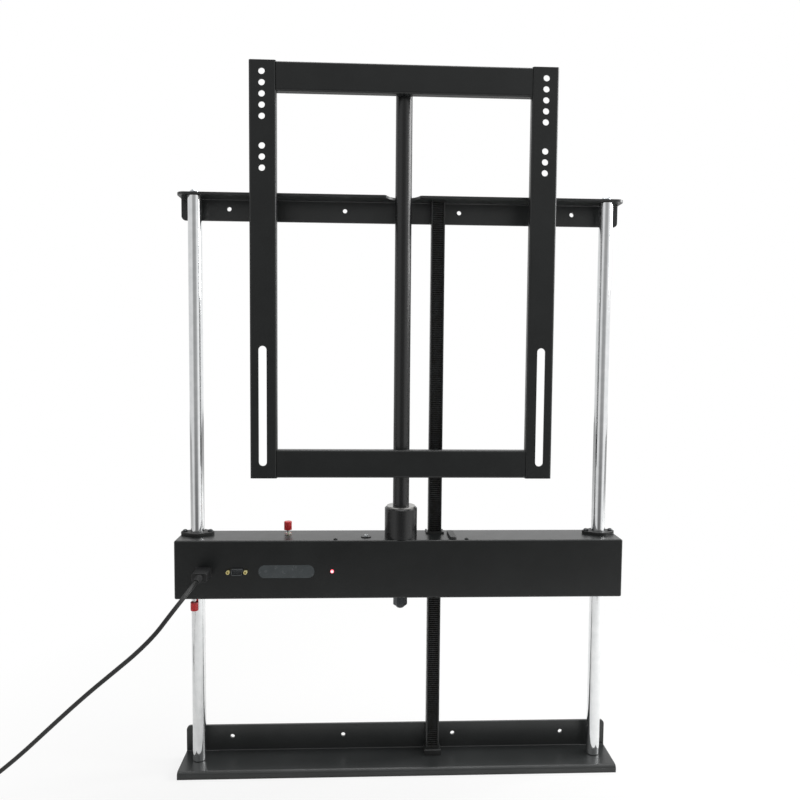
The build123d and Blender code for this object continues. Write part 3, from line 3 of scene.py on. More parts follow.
import logging
import math
from collections.abc import Mapping, Sequence
from dataclasses import dataclass, field
from enum import Enum
from functools import lru_cache
from typing import ClassVar

import bmesh
import bpy
from mathutils import Matrix, Vector


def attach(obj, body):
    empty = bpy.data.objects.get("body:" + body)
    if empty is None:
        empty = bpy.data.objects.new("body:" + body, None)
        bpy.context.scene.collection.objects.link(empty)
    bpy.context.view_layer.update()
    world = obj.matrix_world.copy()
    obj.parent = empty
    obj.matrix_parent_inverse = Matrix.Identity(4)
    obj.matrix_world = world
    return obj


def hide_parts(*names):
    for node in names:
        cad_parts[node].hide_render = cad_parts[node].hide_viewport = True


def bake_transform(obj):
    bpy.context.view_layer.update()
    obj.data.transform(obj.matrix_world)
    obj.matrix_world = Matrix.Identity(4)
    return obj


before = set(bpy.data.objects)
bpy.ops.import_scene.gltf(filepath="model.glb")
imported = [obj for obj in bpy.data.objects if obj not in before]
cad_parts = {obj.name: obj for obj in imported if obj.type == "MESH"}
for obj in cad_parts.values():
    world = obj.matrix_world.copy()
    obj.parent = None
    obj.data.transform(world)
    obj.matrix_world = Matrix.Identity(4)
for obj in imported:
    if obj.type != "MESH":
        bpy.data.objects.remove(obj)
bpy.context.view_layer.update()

log = logging.getLogger("tv_lift")

Point = tuple[float, float, float]
Span = tuple[float, float]
Ramp = tuple[Span, Span]
Inputs = dict[str | int, object]
Socket = bpy.types.NodeSocket
Tree = bpy.types.NodeTree
Layers = list[tuple[Socket, str]]

MM = 0.001
EVEN: Point = (1.0, 1.0, 1.0)
FALLING: Span = (1.0, 0.0)
# Nearly all of a Noise texture's values lie between these.
NOISE_RANGE: Span = (0.3, 0.7)
# The length in metres after which a Wave texture of scale one repeats.
WAVE_LENGTH = 0.31
# A Mix node's sockets by number: the share, two colours, two plain values, and the results.
SHARE, COLOUR_A, COLOUR_B, VALUE_A, VALUE_B = 0, 6, 7, 2, 3
MIXED_COLOUR, MIXED_VALUE = 2, 0
# A Random Value node's sockets for plain numbers: the limits, and the result.
RANDOM_MIN, RANDOM_MAX, RANDOM_VALUE = 2, 3, 1
# Points that are closer than this, in metres, are merged into one.
MERGE_DISTANCE = 0.001 * MM
# The corners of a strap's section.
CORNERS = 4


class Body(Enum):
    """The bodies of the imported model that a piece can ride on."""

    STAND = "stand"
    SWIVEL = "swivel"
    CARRIAGE = "carriage"


def linear(colour: str) -> tuple[float, float, float, float]:
    """Turn an sRGB hex colour into linear light by the sRGB standard's curve.

    Args:
        colour: A hash and six hex digits.

    Returns:
        Red, green, blue and an alpha of one.
    """
    shares = [int(colour[start : start + 2], 16) / 255 for start in (1, 3, 5)]
    red, green, blue = (
        share / 12.92 if share <= 0.04045 else ((share + 0.055) / 1.055) ** 2.4 for share in shares
    )
    return red, green, blue, 1.0


def add_node(
    tree: Tree, kind: str, inputs: Mapping[str | int, object] | None = None, **settings: object
) -> bpy.types.Node:
    """Add a node with its settings, and link or fill its inputs.

    Args:
        tree: The tree that gets the node.
        kind: The node's type.
        inputs: For a socket's name or number, an output to link or a value to set.
        settings: Properties of the node itself.

    Returns:
        The new node.
    """
    node = tree.nodes.new(kind)
    for name, value in settings.items():
        setattr(node, name, value)
    for key, value in (inputs or {}).items():
        if isinstance(value, bpy.types.NodeSocket):
            tree.links.new(value, node.inputs[key])
        else:
            node.inputs[key].default_value = value
    return node


def limits(source: Sequence[object], target: Sequence[object]) -> Inputs:
    """Name the ends of a range, and of the range that it is mapped to, as sockets are named."""
    return dict(zip(("From Min", "From Max", "To Min", "To Max"), (*source, *target)))


def metres(point: Sequence[float]) -> tuple[float, ...]:
    """Turn a point in millimetres into metres."""
    return tuple(value * MM for value in point)


def empty_material(name: str) -> bpy.types.Material:
    """Make a material without nodes.

    Args:
        name: The finish in a maker's words.

    Returns:
        The material.
    """
    material = bpy.data.materials.new(name)
    material.use_nodes = True
    material.node_tree.nodes.clear()
    return material


@dataclass(frozen=True)
class Ground:
    """What a finish is worked out on.

    Attributes:
        tree: The material's tree.
        place: Object coordinates in metres.
    """

    tree: Tree
    place: Socket

    def drift(
        self,
        grain: float,
        low: float = 0.0,
        high: float = 1.0,
        stretch: Point = EVEN,
        detail: float = 2.0,
    ) -> Socket:
        """Make a value that wanders between two limits over patches of a real size.

        Args:
            grain: The size of a patch in millimetres.
            low: The lower limit.
            high: The upper limit.
            stretch: Shares of the coordinates on each axis; a small one draws the patches out.
            detail: Octaves of smaller patches.

        Returns:
            The value's socket.
        """
        shares = {"Vector": self.place, "Scale": stretch}
        drawn = add_node(self.tree, "ShaderNodeMapping", shares).outputs["Vector"]
        sizes = {"Vector": drawn, "Scale": 1 / (grain * MM), "Detail": detail}
        noise = add_node(self.tree, "ShaderNodeTexNoise", sizes).outputs[0]
        ranged = {"Value": noise, **limits(NOISE_RANGE, (low, high))}
        return add_node(self.tree, "ShaderNodeMapRange", ranged).outputs["Result"]

    def spot(self, centre: Point, inner: float, outer: float) -> Socket:
        """Mark a round spot.

        Args:
            centre: The spot's middle in millimetres.
            inner: Distance in millimetres up to which the mark is one.
            outer: Distance in millimetres from which the mark is zero.

        Returns:
            The mark's socket.
        """
        ends = {0: self.place, 1: metres(centre)}
        away = add_node(self.tree, "ShaderNodeVectorMath", ends, operation="DISTANCE")
        ranged = {"Value": away.outputs["Value"], **limits(metres((inner, outer)), FALLING)}
        return add_node(self.tree, "ShaderNodeMapRange", ranged).outputs["Result"]


@dataclass(frozen=True)
class Finish:
    """A finish of one real surface, made into a material. Widths and depths are in millimetres.

    Attributes:
        name: The finish in a maker's words.
        slot: The record's material slot that the finish belongs to; it is not used.
        roughness: The plain surface's roughness.
        colour: The plain surface's sRGB hex colour.
        patch_colour: The colour of its patches.
        spread: How far the roughness wanders.
        patch: Width of a patch of film, stain or flow.
        patch_detail: Octaves of smaller patches.
        mark: Width of a dimple, grain or tool mark.
        mark_detail: Octaves of smaller marks.
        mark_depth: Depth of a mark.
        stretch: Shares of the coordinates; a small one draws the marks out along that axis.
        coloured: The shader's input that takes the colour.
    """

    name: str
    slot: str
    roughness: float
    colour: str
    patch_colour: str
    spread: float = 0.05
    patch: float = 14.0
    patch_detail: float = 3.0
    mark: float = 0.9
    mark_detail: float = 2.0
    mark_depth: float = 0.012
    stretch: Point = EVEN
    coloured: ClassVar[str] = "Base Color"

    def cloud(self) -> float:
        """Give the width of a duller place, half a patch, in millimetres."""
        return self.patch / 2

    def plain(self) -> Inputs:
        """Give the shader's inputs that are the same all over."""
        return {}

    def layers(self, ground: Ground) -> Layers:
        """Give the colours over the plain one, each after the share of it that shows."""
        return [(ground.drift(self.patch, detail=self.patch_detail), self.patch_colour)]

    def height(self, ground: Ground) -> Socket | None:
        """Give the relief as a height from zero to one, if there is one."""
        return ground.drift(self.mark, stretch=self.stretch, detail=self.mark_detail)

    def dullness(self, ground: Ground) -> Socket:
        """Give a roughness that wanders about the finish's own."""
        low, high = self.roughness - self.spread, self.roughness + self.spread
        return ground.drift(self.cloud(), low, high, self.stretch)

    def material(self) -> bpy.types.Material:
        """Make the material.

        Returns:
            A material whose pattern is worked out on Object coordinates.
        """
        material = empty_material(self.name)
        tree = material.node_tree
        ground = Ground(tree, add_node(tree, "ShaderNodeTexCoord").outputs["Object"])
        colour: object = linear(self.colour)
        for share, above in self.layers(ground):
            mix = {SHARE: share, COLOUR_A: colour, COLOUR_B: linear(above)}
            colour = add_node(tree, "ShaderNodeMix", mix, data_type="RGBA").outputs[MIXED_COLOUR]
        inputs = {self.coloured: colour, "Roughness": self.dullness(ground), **self.plain()}
        height = self.height(ground)
        if height:
            relief = {"Height": height, "Distance": self.mark_depth * MM}
            inputs["Normal"] = add_node(tree, "ShaderNodeBump", relief).outputs["Normal"]
        surface = add_node(tree, "ShaderNodeBsdfPrincipled", inputs)
        add_node(tree, "ShaderNodeOutputMaterial", {"Surface": surface.outputs["BSDF"]})
        return material


@dataclass(frozen=True)
class PowderCoat(Finish):
    """Powder paint baked on steel: patches of thin film, and the dimples of an orange peel.

    Attributes:
        mirror: How much the coat mirrors, as the shader's specular level.
    """

    spread: float = 0.015
    patch: float = 70.0
    patch_detail: float = 2.0
    mark: float = 2.2
    mark_detail: float = 3.0
    mark_depth: float = 0.03
    mirror: float = 0.5

    def cloud(self) -> float:
        """Give the width of a duller place, a third of a patch, in millimetres."""
        return self.patch / 3

    def plain(self) -> Inputs:
        """Give the shader's inputs that are the same all over."""
        return {"Specular IOR Level": self.mirror}


@dataclass(frozen=True)
class RubbedCoat(PowderCoat):
    """A powder coat on a folded box, polished a little along its edges by handling.

    Attributes:
        middle: The box's middle in millimetres.
        half: Half the box's size on each axis in millimetres.
        edge: Width of the polished strip in millimetres.
        edge_colour: The colour of the strip.
        rub_patch: Width of a more or less polished place in millimetres.
        rub_least: How much the least polished place shows.
        polish: How much the strip's roughness is lower.
    """

    middle: Point = (0.0, 0.0, 0.0)
    half: Point = EVEN
    edge: float = 2.4
    edge_colour: str = "#2b2d2d"
    rub_patch: float = 9.0
    rub_least: float = 0.2
    polish: float = 0.12

    def rub(self, ground: Ground) -> Socket:
        """Mark the box's edges, where two of the three depths below its faces are small.

        Args:
            ground: What the finish is worked out on.

        Returns:
            A mark that is one on an edge.
        """
        tree = ground.tree
        steps = (("SUBTRACT", 0, 1, metres(self.middle)), ("ABSOLUTE", 0, 1, EVEN))
        depth = ground.place
        for operation, slot, other, value in (*steps, ("SUBTRACT", 1, 0, metres(self.half))):
            pair = {slot: depth, other: value}
            depth = add_node(tree, "ShaderNodeVectorMath", pair, operation=operation).outputs[0]
        x, y, z = add_node(tree, "ShaderNodeSeparateXYZ", {"Vector": depth}).outputs
        least = add_node(tree, "ShaderNodeMath", {0: x, 1: y}, operation="MINIMUM").outputs[0]
        most = add_node(tree, "ShaderNodeMath", {0: x, 1: y}, operation="MAXIMUM").outputs[0]
        capped = add_node(tree, "ShaderNodeMath", {0: most, 1: z}, operation="MINIMUM").outputs[0]
        pair = {0: least, 1: capped}
        second = add_node(tree, "ShaderNodeMath", pair, operation="MAXIMUM").outputs[0]
        strip = {"Value": second, **limits((0.0, self.edge * MM), FALLING)}
        near = add_node(tree, "ShaderNodeMapRange", strip).outputs["Result"]
        patchy = {0: near, 1: ground.drift(self.rub_patch, self.rub_least)}
        return add_node(tree, "ShaderNodeMath", patchy, operation="MULTIPLY").outputs[0]

    def layers(self, ground: Ground) -> Layers:
        """Give the coat's colours, with the strip's over them."""
        return [*super().layers(ground), (self.rub(ground), self.edge_colour)]

    def dullness(self, ground: Ground) -> Socket:
        """Give the coat's roughness, lower along the edges.

        Args:
            ground: What the finish is worked out on.

        Returns:
            The roughness's socket.
        """
        dull, bright = super().dullness(ground), self.roughness - self.polish
        rubbed = {SHARE: self.rub(ground), VALUE_A: dull, VALUE_B: bright}
        rubbed = add_node(ground.tree, "ShaderNodeMix", rubbed, data_type="FLOAT")
        return rubbed.outputs[MIXED_VALUE]


@dataclass(frozen=True)
class Metal(Finish):
    """Bare or plated metal: patches of stain, and the marks of the tool that made it.

    Attributes:
        metallic: How metallic the surface is.
    """

    spread: float = 0.06
    patch: float = 12.0
    patch_detail: float = 4.0
    mark: float = 1.5
    mark_depth: float = 0.01
    metallic: float = 1.0

    def cloud(self) -> float:
        """Give the width of a duller place, two marks, in millimetres."""
        return self.mark * 2

    def plain(self) -> Inputs:
        """Give the shader's inputs that are the same all over."""
        return {"Metallic": self.metallic}


@dataclass(frozen=True)
class GreasedGear(Metal):
    """Hobbed steel with a thin brown film of grease.

    Attributes:
        grease: The colour of the grease.
        film: Width of a patch of grease in millimetres.
        film_detail: Octaves of smaller patches of grease.
        cover: How much the thickest grease hides.
        runs: Shares of the coordinates, by which the grease runs down.
    """

    grease: str = "#1c1913"
    film: float = 6.0
    film_detail: float = 5.0
    cover: float = 0.85
    runs: Point = (1.0, 1.0, 0.5)

    def layers(self, ground: Ground) -> Layers:
        """Give the steel's colours, with the grease's over them."""
        film = ground.drift(self.film, 0.0, self.cover, self.runs, self.film_detail)
        return [*super().layers(ground), (film, self.grease)]


@dataclass(frozen=True)
class BlackScrew(Metal):
    """Black oxide on screw heads, with one screw of the set left bright.

    Attributes:
        bright: The colour of the bright screw.
        bright_place: Where the bright screw is, in millimetres.
        bright_reach: Distances from there at which the change to black starts and ends.
    """

    bright: str = "#c9cccd"
    bright_place: Point = (-51.5, -9.0, 360.0)
    bright_reach: Span = (3.4, 3.9)

    def layers(self, ground: Ground) -> Layers:
        """Give the oxide's colours, with the bright screw's over them."""
        one = ground.spot(self.bright_place, *self.bright_reach)
        return [*super().layers(ground), (one, self.bright)]


@dataclass(frozen=True)
class Moulding(Finish):
    """Moulded plastic or rubber: patches of flow, and the grain of a spark-eroded mould.

    Attributes:
        glow: How much light travels under the surface.
        glow_depth: How far it travels, in millimetres.
        gloss: Weight of a clear, glossy skin.
        gloss_roughness: Roughness of the skin.
    """

    glow: float = 0.0
    glow_depth: float = 1.5
    gloss: float = 0.0
    gloss_roughness: float = 0.08

    def plain(self) -> Inputs:
        """Give the shader's inputs that are the same all over."""
        glow = {"Subsurface Weight": self.glow, "Subsurface Scale": self.glow_depth * MM}
        return {**glow, "Coat Weight": self.gloss, "Coat Roughness": self.gloss_roughness}


@dataclass(frozen=True)
class BoardLaminate(Finish):
    """Glass-epoxy board under solder mask, where copper tracks are paler and stand proud.

    Attributes:
        pitch: Distance between tracks in millimetres.
        track_share: Width of a track as a share of the pitch.
        track_run: Length of a track between corners, in pitches.
    """

    spread: float = 0.06
    patch: float = 10.0
    mark_depth: float = 0.03
    pitch: float = 3.2
    track_share: float = 0.04
    track_run: float = 3.0

    def height(self, ground: Ground) -> Socket:
        """Draw the tracks.

        Args:
            ground: What the finish is worked out on.

        Returns:
            A mark that is one on a track.
        """
        turned = {"Vector": ground.place, "Rotation": (math.pi / 2, 0.0, 0.0)}
        sizes = {
            "Vector": add_node(ground.tree, "ShaderNodeMapping", turned).outputs["Vector"],
            "Scale": 1 / (self.pitch * MM),
            "Mortar Size": self.track_share,
            "Brick Width": self.track_run,
            "Row Height": 1.0,
        }
        return add_node(ground.tree, "ShaderNodeTexBrick", sizes).outputs["Fac"]

    def layers(self, ground: Ground) -> Layers:
        """Give the tracks' colour."""
        return [(self.height(ground), self.patch_colour)]


@dataclass(frozen=True)
class LampLens(Finish):
    """The smooth diffusing lens of a lit lamp: red at the rim and pale in the middle.

    Attributes:
        centre: The middle of the lens in millimetres.
        core: Distances in millimetres from there at which the pale middle fades and ends.
        power: How brightly the lens shines.
    """

    coloured: ClassVar[str] = "Emission Color"
    spread: float = 0.04
    patch: float = 2.4
    centre: Point = (-100.5, -31.0, 312.0)
    core: Span = (1.125, 2.875)
    power: float = 1.6

    def plain(self) -> Inputs:
        """Give the shader's inputs that are the same all over."""
        return {"Base Color": linear(self.colour), "Emission Strength": self.power}

    def layers(self, ground: Ground) -> Layers:
        """Give the colour of the pale middle."""
        return [(ground.spot(self.centre, *self.core), self.patch_colour)]

    def height(self, ground: Ground) -> None:
        """Give no relief."""


@dataclass(frozen=True)
class StrapWeave(Finish):
    """Woven nylon strap: rows of loops run across its width, a thread's width apart.

    Attributes:
        fluff: Weight of the fibres' sheen.
        waver: How unevenly the rows run.
        waver_detail: Octaves of smaller unevenness.
    """

    patch: float = 1.6
    mark: float = 0.8
    mark_detail: float = 4.0
    mark_depth: float = 0.12
    fluff: float = 0.3
    waver: float = 1.5
    waver_detail: float = 2.0

    def plain(self) -> Inputs:
        """Give the shader's inputs that are the same all over."""
        return {"Sheen Weight": self.fluff}

    def rows(self, ground: Ground) -> Socket:
        """Draw the rows.

        Args:
            ground: What the finish is worked out on.

        Returns:
            A mark that is one on a row.
        """
        wave = {
            "Vector": ground.place,
            "Scale": WAVE_LENGTH / (self.mark * MM),
            "Distortion": self.waver,
            "Detail": self.waver_detail,
        }
        return add_node(ground.tree, "ShaderNodeTexWave", wave, bands_direction="Y").outputs["Fac"]

    def layers(self, ground: Ground) -> Layers:
        """Give the threads' colour."""
        return [(self.rows(ground), self.patch_colour)]

    def height(self, ground: Ground) -> Socket:
        """Give the rows' relief, with fluff on it."""
        woven = {0: self.rows(ground), 1: super().height(ground)}
        return add_node(ground.tree, "ShaderNodeMath", woven, operation="ADD").outputs[0]


class Surface(Enum):
    """The finishes of the lift."""

    # Polyester powder on folded steel: a deep grey-black, pale where it mirrors a bright room.
    BRACKET = PowderCoat("black_powder_coat_on_bracket", "bracket_black", 0.3, "#292b2b", "#313333")
    # The same powder on the narrow channel: a little finer and darker.
    CHANNEL = PowderCoat(
        "black_powder_coat_on_channel", "channel_black", 0.34, "#262727", "#2d2e2e", mark=1.8
    )
    # The housing's coat: an even sheet of dark grey with softly polished edges.
    HOUSING = RubbedCoat(
        "black_powder_coat_on_housing", "housing_black", 0.3, "#151717", "#1b1d1d",
        mirror=0.42, middle=(0.0, 0.0, 314.5), half=(327.5, 30.0, 43.0),
    )
    # Satin coat on drawn tube: a tight skin with one long, soft highlight down the mast.
    MAST = PowderCoat(
        "satin_black_coat_on_tube", "mast_black", 0.27, "#0f1010", "#141516", mark=1.6
    )
    # The television frame's coat: heavier film on pressed channel, a shade paler than the mast.
    FRAME = PowderCoat(
        "black_powder_coat_on_frame", "frame_black", 0.32, "#191b1b", "#1f2121", patch=50.0,
        mirror=0.42,
    )
    # Hard chrome on ground bar: a clear mirror. Its rings are drawn coarser so that they show.
    CHROME = Metal(
        "hard_chromed_ground_bar", "rod_chrome", 0.09, "#e6e7e8", "#dadcdd", mark=1.2,
        mark_depth=0.0006, stretch=(0.02, 0.02, 1.0), spread=0.02,
    )
    # Zinc plate with a blue passivation: bright, slightly cloudy screw heads.
    ZINC = Metal("zinc_plated_steel", "screw_zinc", 0.26, "#c3c6c8", "#a9adb3", mark=1.0)
    # Black zinc on nuts and screws: dark grey metal with a grey glint along its corners.
    BLACK_ZINC = Metal(
        "black_zinc_plated_steel", "screw_zinc", 0.3, "#4b4d4f", "#3a3c3e", mark=1.2
    )
    # Black oxide: a near-black oily metal that still glints at the rim of a socket.
    BLACK_SCREW = BlackScrew(
        "black_oxide_screw", "screw_black", 0.33, "#232425", "#2c2d2e", metallic=0.8
    )
    # Hobbed and greased steel: dull, dark grey teeth under a patchy brown film.
    GEAR = GreasedGear(
        "hobbed_steel_with_grease", "gear_steel", 0.55, "#343637", "#2d2f30", mark=0.9,
        stretch=(0.1, 1.0, 1.0), metallic=0.4,
    )
    # Turned steel stem: bright rings round a thin pin.
    STEM = Metal(
        "turned_steel_stem", "gear_steel", 0.2, "#c9cbcc", "#b5b8b9", mark=0.8,
        stretch=(0.05, 0.05, 1.0),
    )
    # Phosphated cast iron: a dull, sandy grey-black.
    CAST_IRON = Metal(
        "phosphated_cast_iron", "bearing_iron", 0.5, "#262727", "#303131", mark=1.1,
        mark_depth=0.05, metallic=0.35,
    )
    # Tin-plated sintered bronze: a pale, warm grey ring, matt from its pores.
    BUSH = Metal(
        "tin_plated_sintered_bronze", "bush_bronze", 0.3, "#b2b2b0", "#9c9b98", mark=0.7,
        mark_depth=0.02,
    )
    # Natural nylon: milky white that lets a little light in.
    NYLON = Moulding("natural_nylon", "nylon_white", 0.4, "#e6e2d6", "#dcd8ca", glow=0.25)
    # Black ABS and rubber trim: soft black with a fine mould grain.
    TRIM = Moulding(
        "moulded_black_abs", "trim_black", 0.45, "#1d1e1e", "#252626", mark_depth=0.02
    )
    # Galvanised and passivated steel can: pale, streaky grey.
    MOTOR = Metal(
        "galvanised_motor_can", "motor_steel", 0.34, "#a7aaac", "#8f9396", mark=1.4,
        stretch=(0.15, 1.0, 1.0),
    )
    # Die-cast alloy, tumbled: a light grey, faintly pitted skin.
    ALLOY = Metal(
        "die_cast_alloy", "gearbox_alloy", 0.4, "#9b9d9e", "#868889", mark=1.6, mark_depth=0.04
    )
    # Saddle castings with the frame's paint: black over a cast grain.
    PAINTED_CASTING = Metal(
        "black_painted_casting", "gearbox_alloy", 0.42, "#2a2c2c", "#333535", mark=1.6,
        mark_depth=0.05, metallic=0.0,
    )
    # Solder-masked board: glossy green with paler tracks.
    BOARD = BoardLaminate("solder_masked_board", "board_green", 0.3, "#1f5d36", "#2f7d49")
    # Smoked acrylic: a smooth, slightly blue grey that mirrors softly.
    WINDOW = Moulding(
        "smoked_acrylic_window", "window_smoke", 0.24, "#464b4d", "#4c5153", mark=20.0,
        mark_depth=0.002,
    )
    # Lamp lens: a red rim round a pink-white glow.
    LAMP = LampLens("lit_red_lamp_lens", "lamp_red", 0.2, "#ff1238", "#ffdfe8")
    # Turned brass, dulled by handling: pale, warm yellow.
    BRASS = Metal(
        "turned_brass", "contact_brass", 0.32, "#f6ebac", "#e6d68c", mark=0.6, metallic=0.35
    )
    # Tinned connector shell and contacts: a dim, even grey.
    TINNED = Metal(
        "tinned_steel_shell", "motor_steel", 0.45, "#727678", "#66696b", mark=0.8, metallic=0.4
    )
    # Dipped vinyl caps: saturated red with a wet-looking skin.
    VINYL = Moulding(
        "dipped_red_vinyl", "stop_red", 0.36, "#d40e17", "#c00c14", mark=2.5, glow=0.12,
        gloss=0.15,
    )
    # Flexible PVC jacket: even black with a low sheen, faintly dimpled where it was wound.
    JACKET = Moulding(
        "flexible_pvc_jacket", "cord_black", 0.5, "#0b0c0c", "#151616", mark=3.0, mark_depth=0.03
    )
    # Moulded PVC plug: a duller black than its cord, with mould grain.
    PLUG = Moulding(
        "moulded_pvc_plug", "cord_black", 0.6, "#0f1011", "#151617", mark=1.2, mark_depth=0.02
    )
    # Nylon hook strap: dull black with visible rows of loops.
    STRAP = StrapWeave("woven_nylon_strap", "cord_black", 0.85, "#0c0c0d", "#2b2c2e")

    def material(self) -> bpy.types.Material:
        """Give the finish's one material."""
        return finished(self.value)


@lru_cache(maxsize=None)
def finished(finish: Finish) -> bpy.types.Material:
    """Make a finish's material once, and give the same one each time."""
    return finish.material()


def placed(name: str, data: bpy.types.ID) -> bpy.types.Object:
    """Put data into the scene as an object at the origin.

    Args:
        name: The object's name.
        data: A mesh, curve, camera or light.

    Returns:
        The object.
    """
    piece = bpy.data.objects.new(name, data)
    bpy.context.scene.collection.objects.link(piece)
    return piece


def mesh_object(
    name: str,
    points: Sequence[Point],
    edges: Sequence[Sequence[int]],
    faces: Sequence[Sequence[int]],
) -> bpy.types.Object:
    """Make an object from points in millimetres.

    Args:
        name: The piece's name.
        points: Its points.
        edges: Pairs of point numbers, for a carrier of Geometry Nodes.
        faces: Rings of point numbers.

    Returns:
        An object at the origin with its place in its mesh.
    """
    mesh = bpy.data.meshes.new(name)
    mesh.from_pydata([metres(point) for point in points], list(edges), list(faces))
    return placed(name, mesh)


def tidy_faces(mesh: bpy.types.Mesh, smooth: bool = True) -> None:
    """Merge doubles, turn faces outwards and shade them.

    Args:
        mesh: The mesh to change.
        smooth: Whether the faces are shaded smooth.
    """
    work = bmesh.new()
    work.from_mesh(mesh)
    bmesh.ops.remove_doubles(work, verts=work.verts, dist=MERGE_DISTANCE)
    bmesh.ops.recalc_face_normals(work, faces=work.faces)
    for face in work.faces:
        face.smooth = smooth
    work.to_mesh(mesh)
    work.free()


def meshed(piece: bpy.types.Object) -> bpy.types.Mesh:
    """Copy what a piece looks like into a plain mesh.

    Args:
        piece: A curve, or a mesh with modifiers.

    Returns:
        The new mesh.
    """
    bpy.context.view_layer.update()
    graph = bpy.context.evaluated_depsgraph_get()
    return bpy.data.meshes.new_from_object(piece.evaluated_get(graph), depsgraph=graph)


def grown(piece: bpy.types.Object, tree: Tree, inputs: Mapping[str, object]) -> bpy.types.Object:
    """Run Geometry Nodes on a carrier and keep the result as its plain mesh.

    Args:
        piece: The carrier.
        tree: The Geometry Nodes tree.
        inputs: A value for each of the tree's named inputs.

    Returns:
        The same object with the grown mesh and no modifier.
    """
    modifier = piece.modifiers.new(tree.name, "NODES")
    modifier.node_group = tree
    for item in tree.interface.items_tree:
        if item.item_type == "SOCKET" and item.in_out == "INPUT" and item.name in inputs:
            modifier[item.identifier] = inputs[item.name]
    mesh = meshed(piece)
    piece.modifiers.remove(modifier)
    piece.data = mesh
    tidy_faces(mesh)
    if not mesh.materials:
        mesh.materials.append(inputs["Material"])
    return piece


def settle(piece: bpy.types.Object, body: Body, surface: Surface) -> None:
    """Put a finished piece on its body.

    Args:
        piece: The piece, at the origin.
        body: The body that carries it.
        surface: The finish, whose name goes into the log.
    """
    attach(piece, body.value)
    log.info("%s on %s: %s", piece.name, body.value, surface.value.name)


@dataclass(frozen=True)
class PathTree:
    """The start and end of a Geometry Nodes tree that sets copies along a carrier's edges.

    Attributes:
        name: The tree's name.
        sizes: The type of each named size input.
    """

    name: str
    sizes: tuple[tuple[str, str], ...]

    def started(self) -> tuple[Tree, bpy.types.bpy_prop_collection, Socket]:
        """Make the tree with its inputs and output.

        Returns:
            The tree, the group input's outputs and the carrier as a curve.
        """
        tree = bpy.data.node_groups.new(self.name, "GeometryNodeTree")
        for label, kind in (("Geometry", "Geometry"), *self.sizes, ("Material", "Material")):
            tree.interface.new_socket(label, in_out="INPUT", socket_type=f"NodeSocket{kind}")
        tree.interface.new_socket("Geometry", in_out="OUTPUT", socket_type="NodeSocketGeometry")
        given = add_node(tree, "NodeGroupInput").outputs
        line = add_node(tree, "GeometryNodeMeshToCurve", {"Mesh": given["Geometry"]})
        return tree, given, line.outputs["Curve"]

    def closed(self, tree: Tree, copies: Inputs, material: Socket) -> Tree:
        """End the tree in real geometry with its material.

        Args:
            tree: The tree.
            copies: The inputs of the node that sets the copies on their points.
            material: The material input.

        Returns:
            The finished tree.
        """
        instances = add_node(tree, "GeometryNodeInstanceOnPoints", copies).outputs["Instances"]
        real = add_node(tree, "GeometryNodeRealizeInstances", {"Geometry": instances})
        dressed = {"Geometry": real.outputs["Geometry"], "Material": material}
        dressed = add_node(tree, "GeometryNodeSetMaterial", dressed)
        add_node(tree, "NodeGroupOutput", {"Geometry": dressed.outputs["Geometry"]})
        return tree


@dataclass(frozen=True)
class StrainReliefRibs:
    """Rings round a tapered strain relief. Sizes are in millimetres.

    Attributes:
        name: The piece's name.
        body: The body that the relief moves with.
        start: The thick end of the relief's axis.
        end: The thin end of the axis.
        start_radius: Radius of the ring's middle line at the thick end.
        end_radius: Radius of the ring's middle line at the thin end.
        section_share: Radius of a ring's section as a share of the ring's radius.
        count: How many rings there are.
        ring_steps: Points round a ring.
        section_steps: Points round a ring's section.
    """

    name: str
    body: Body
    start: Point
    end: Point
    start_radius: float
    end_radius: float
    section_share: float
    count: int = 6
    ring_steps: int = 36
    section_steps: int = 12

    def tree(self) -> Tree:
        """Make the Geometry Nodes tree.

        Returns:
            A tree that sets rings whose radius runs from one size to another.
        """
        radii = (("Start Radius", "Float"), ("End Radius", "Float"))
        sizes = (("Count", "Int"), *radii, ("Section Share", "Float"))
        path = PathTree("rings_on_a_strain_relief", sizes)
        tree, given, line = path.started()
        spread = {"Curve": line, "Count": given["Count"]}
        places = add_node(tree, "GeometryNodeCurveToPoints", spread, mode="COUNT").outputs
        index = add_node(tree, "GeometryNodeInputIndex").outputs[0]
        last = {0: given["Count"], 1: 1.0}
        last = add_node(tree, "ShaderNodeMath", last, operation="SUBTRACT").outputs[0]
        taper = limits((0.0, last), (given["Start Radius"], given["End Radius"]))
        radius = add_node(tree, "ShaderNodeMapRange", {"Value": index, **taper})
        ring = {"Resolution": self.ring_steps, "Radius": 1.0}
        ring = add_node(tree, "GeometryNodeCurvePrimitiveCircle", ring).outputs["Curve"]
        section = {"Resolution": self.section_steps, "Radius": given["Section Share"]}
        section = add_node(tree, "GeometryNodeCurvePrimitiveCircle", section).outputs["Curve"]
        tube = {"Curve": ring, "Profile Curve": section}
        copies = {
            "Points": places["Points"],
            "Instance": add_node(tree, "GeometryNodeCurveToMesh", tube).outputs["Mesh"],
            "Rotation": places["Rotation"],
            "Scale": radius.outputs["Result"],
        }
        return path.closed(tree, copies, given["Material"])

    def build(self) -> bpy.types.Object:
        """Make the ribs.

        Returns:
            The piece on its body.
        """
        carrier = mesh_object(self.name, [self.start, self.end], [(0, 1)], [])
        inputs = {
            "Count": self.count,
            "Start Radius": self.start_radius * MM,
            "End Radius": self.end_radius * MM,
            "Section Share": self.section_share,
            "Material": Surface.PLUG.material(),
        }
        piece = grown(carrier, self.tree(), inputs)
        settle(piece, self.body, Surface.PLUG)
        return piece


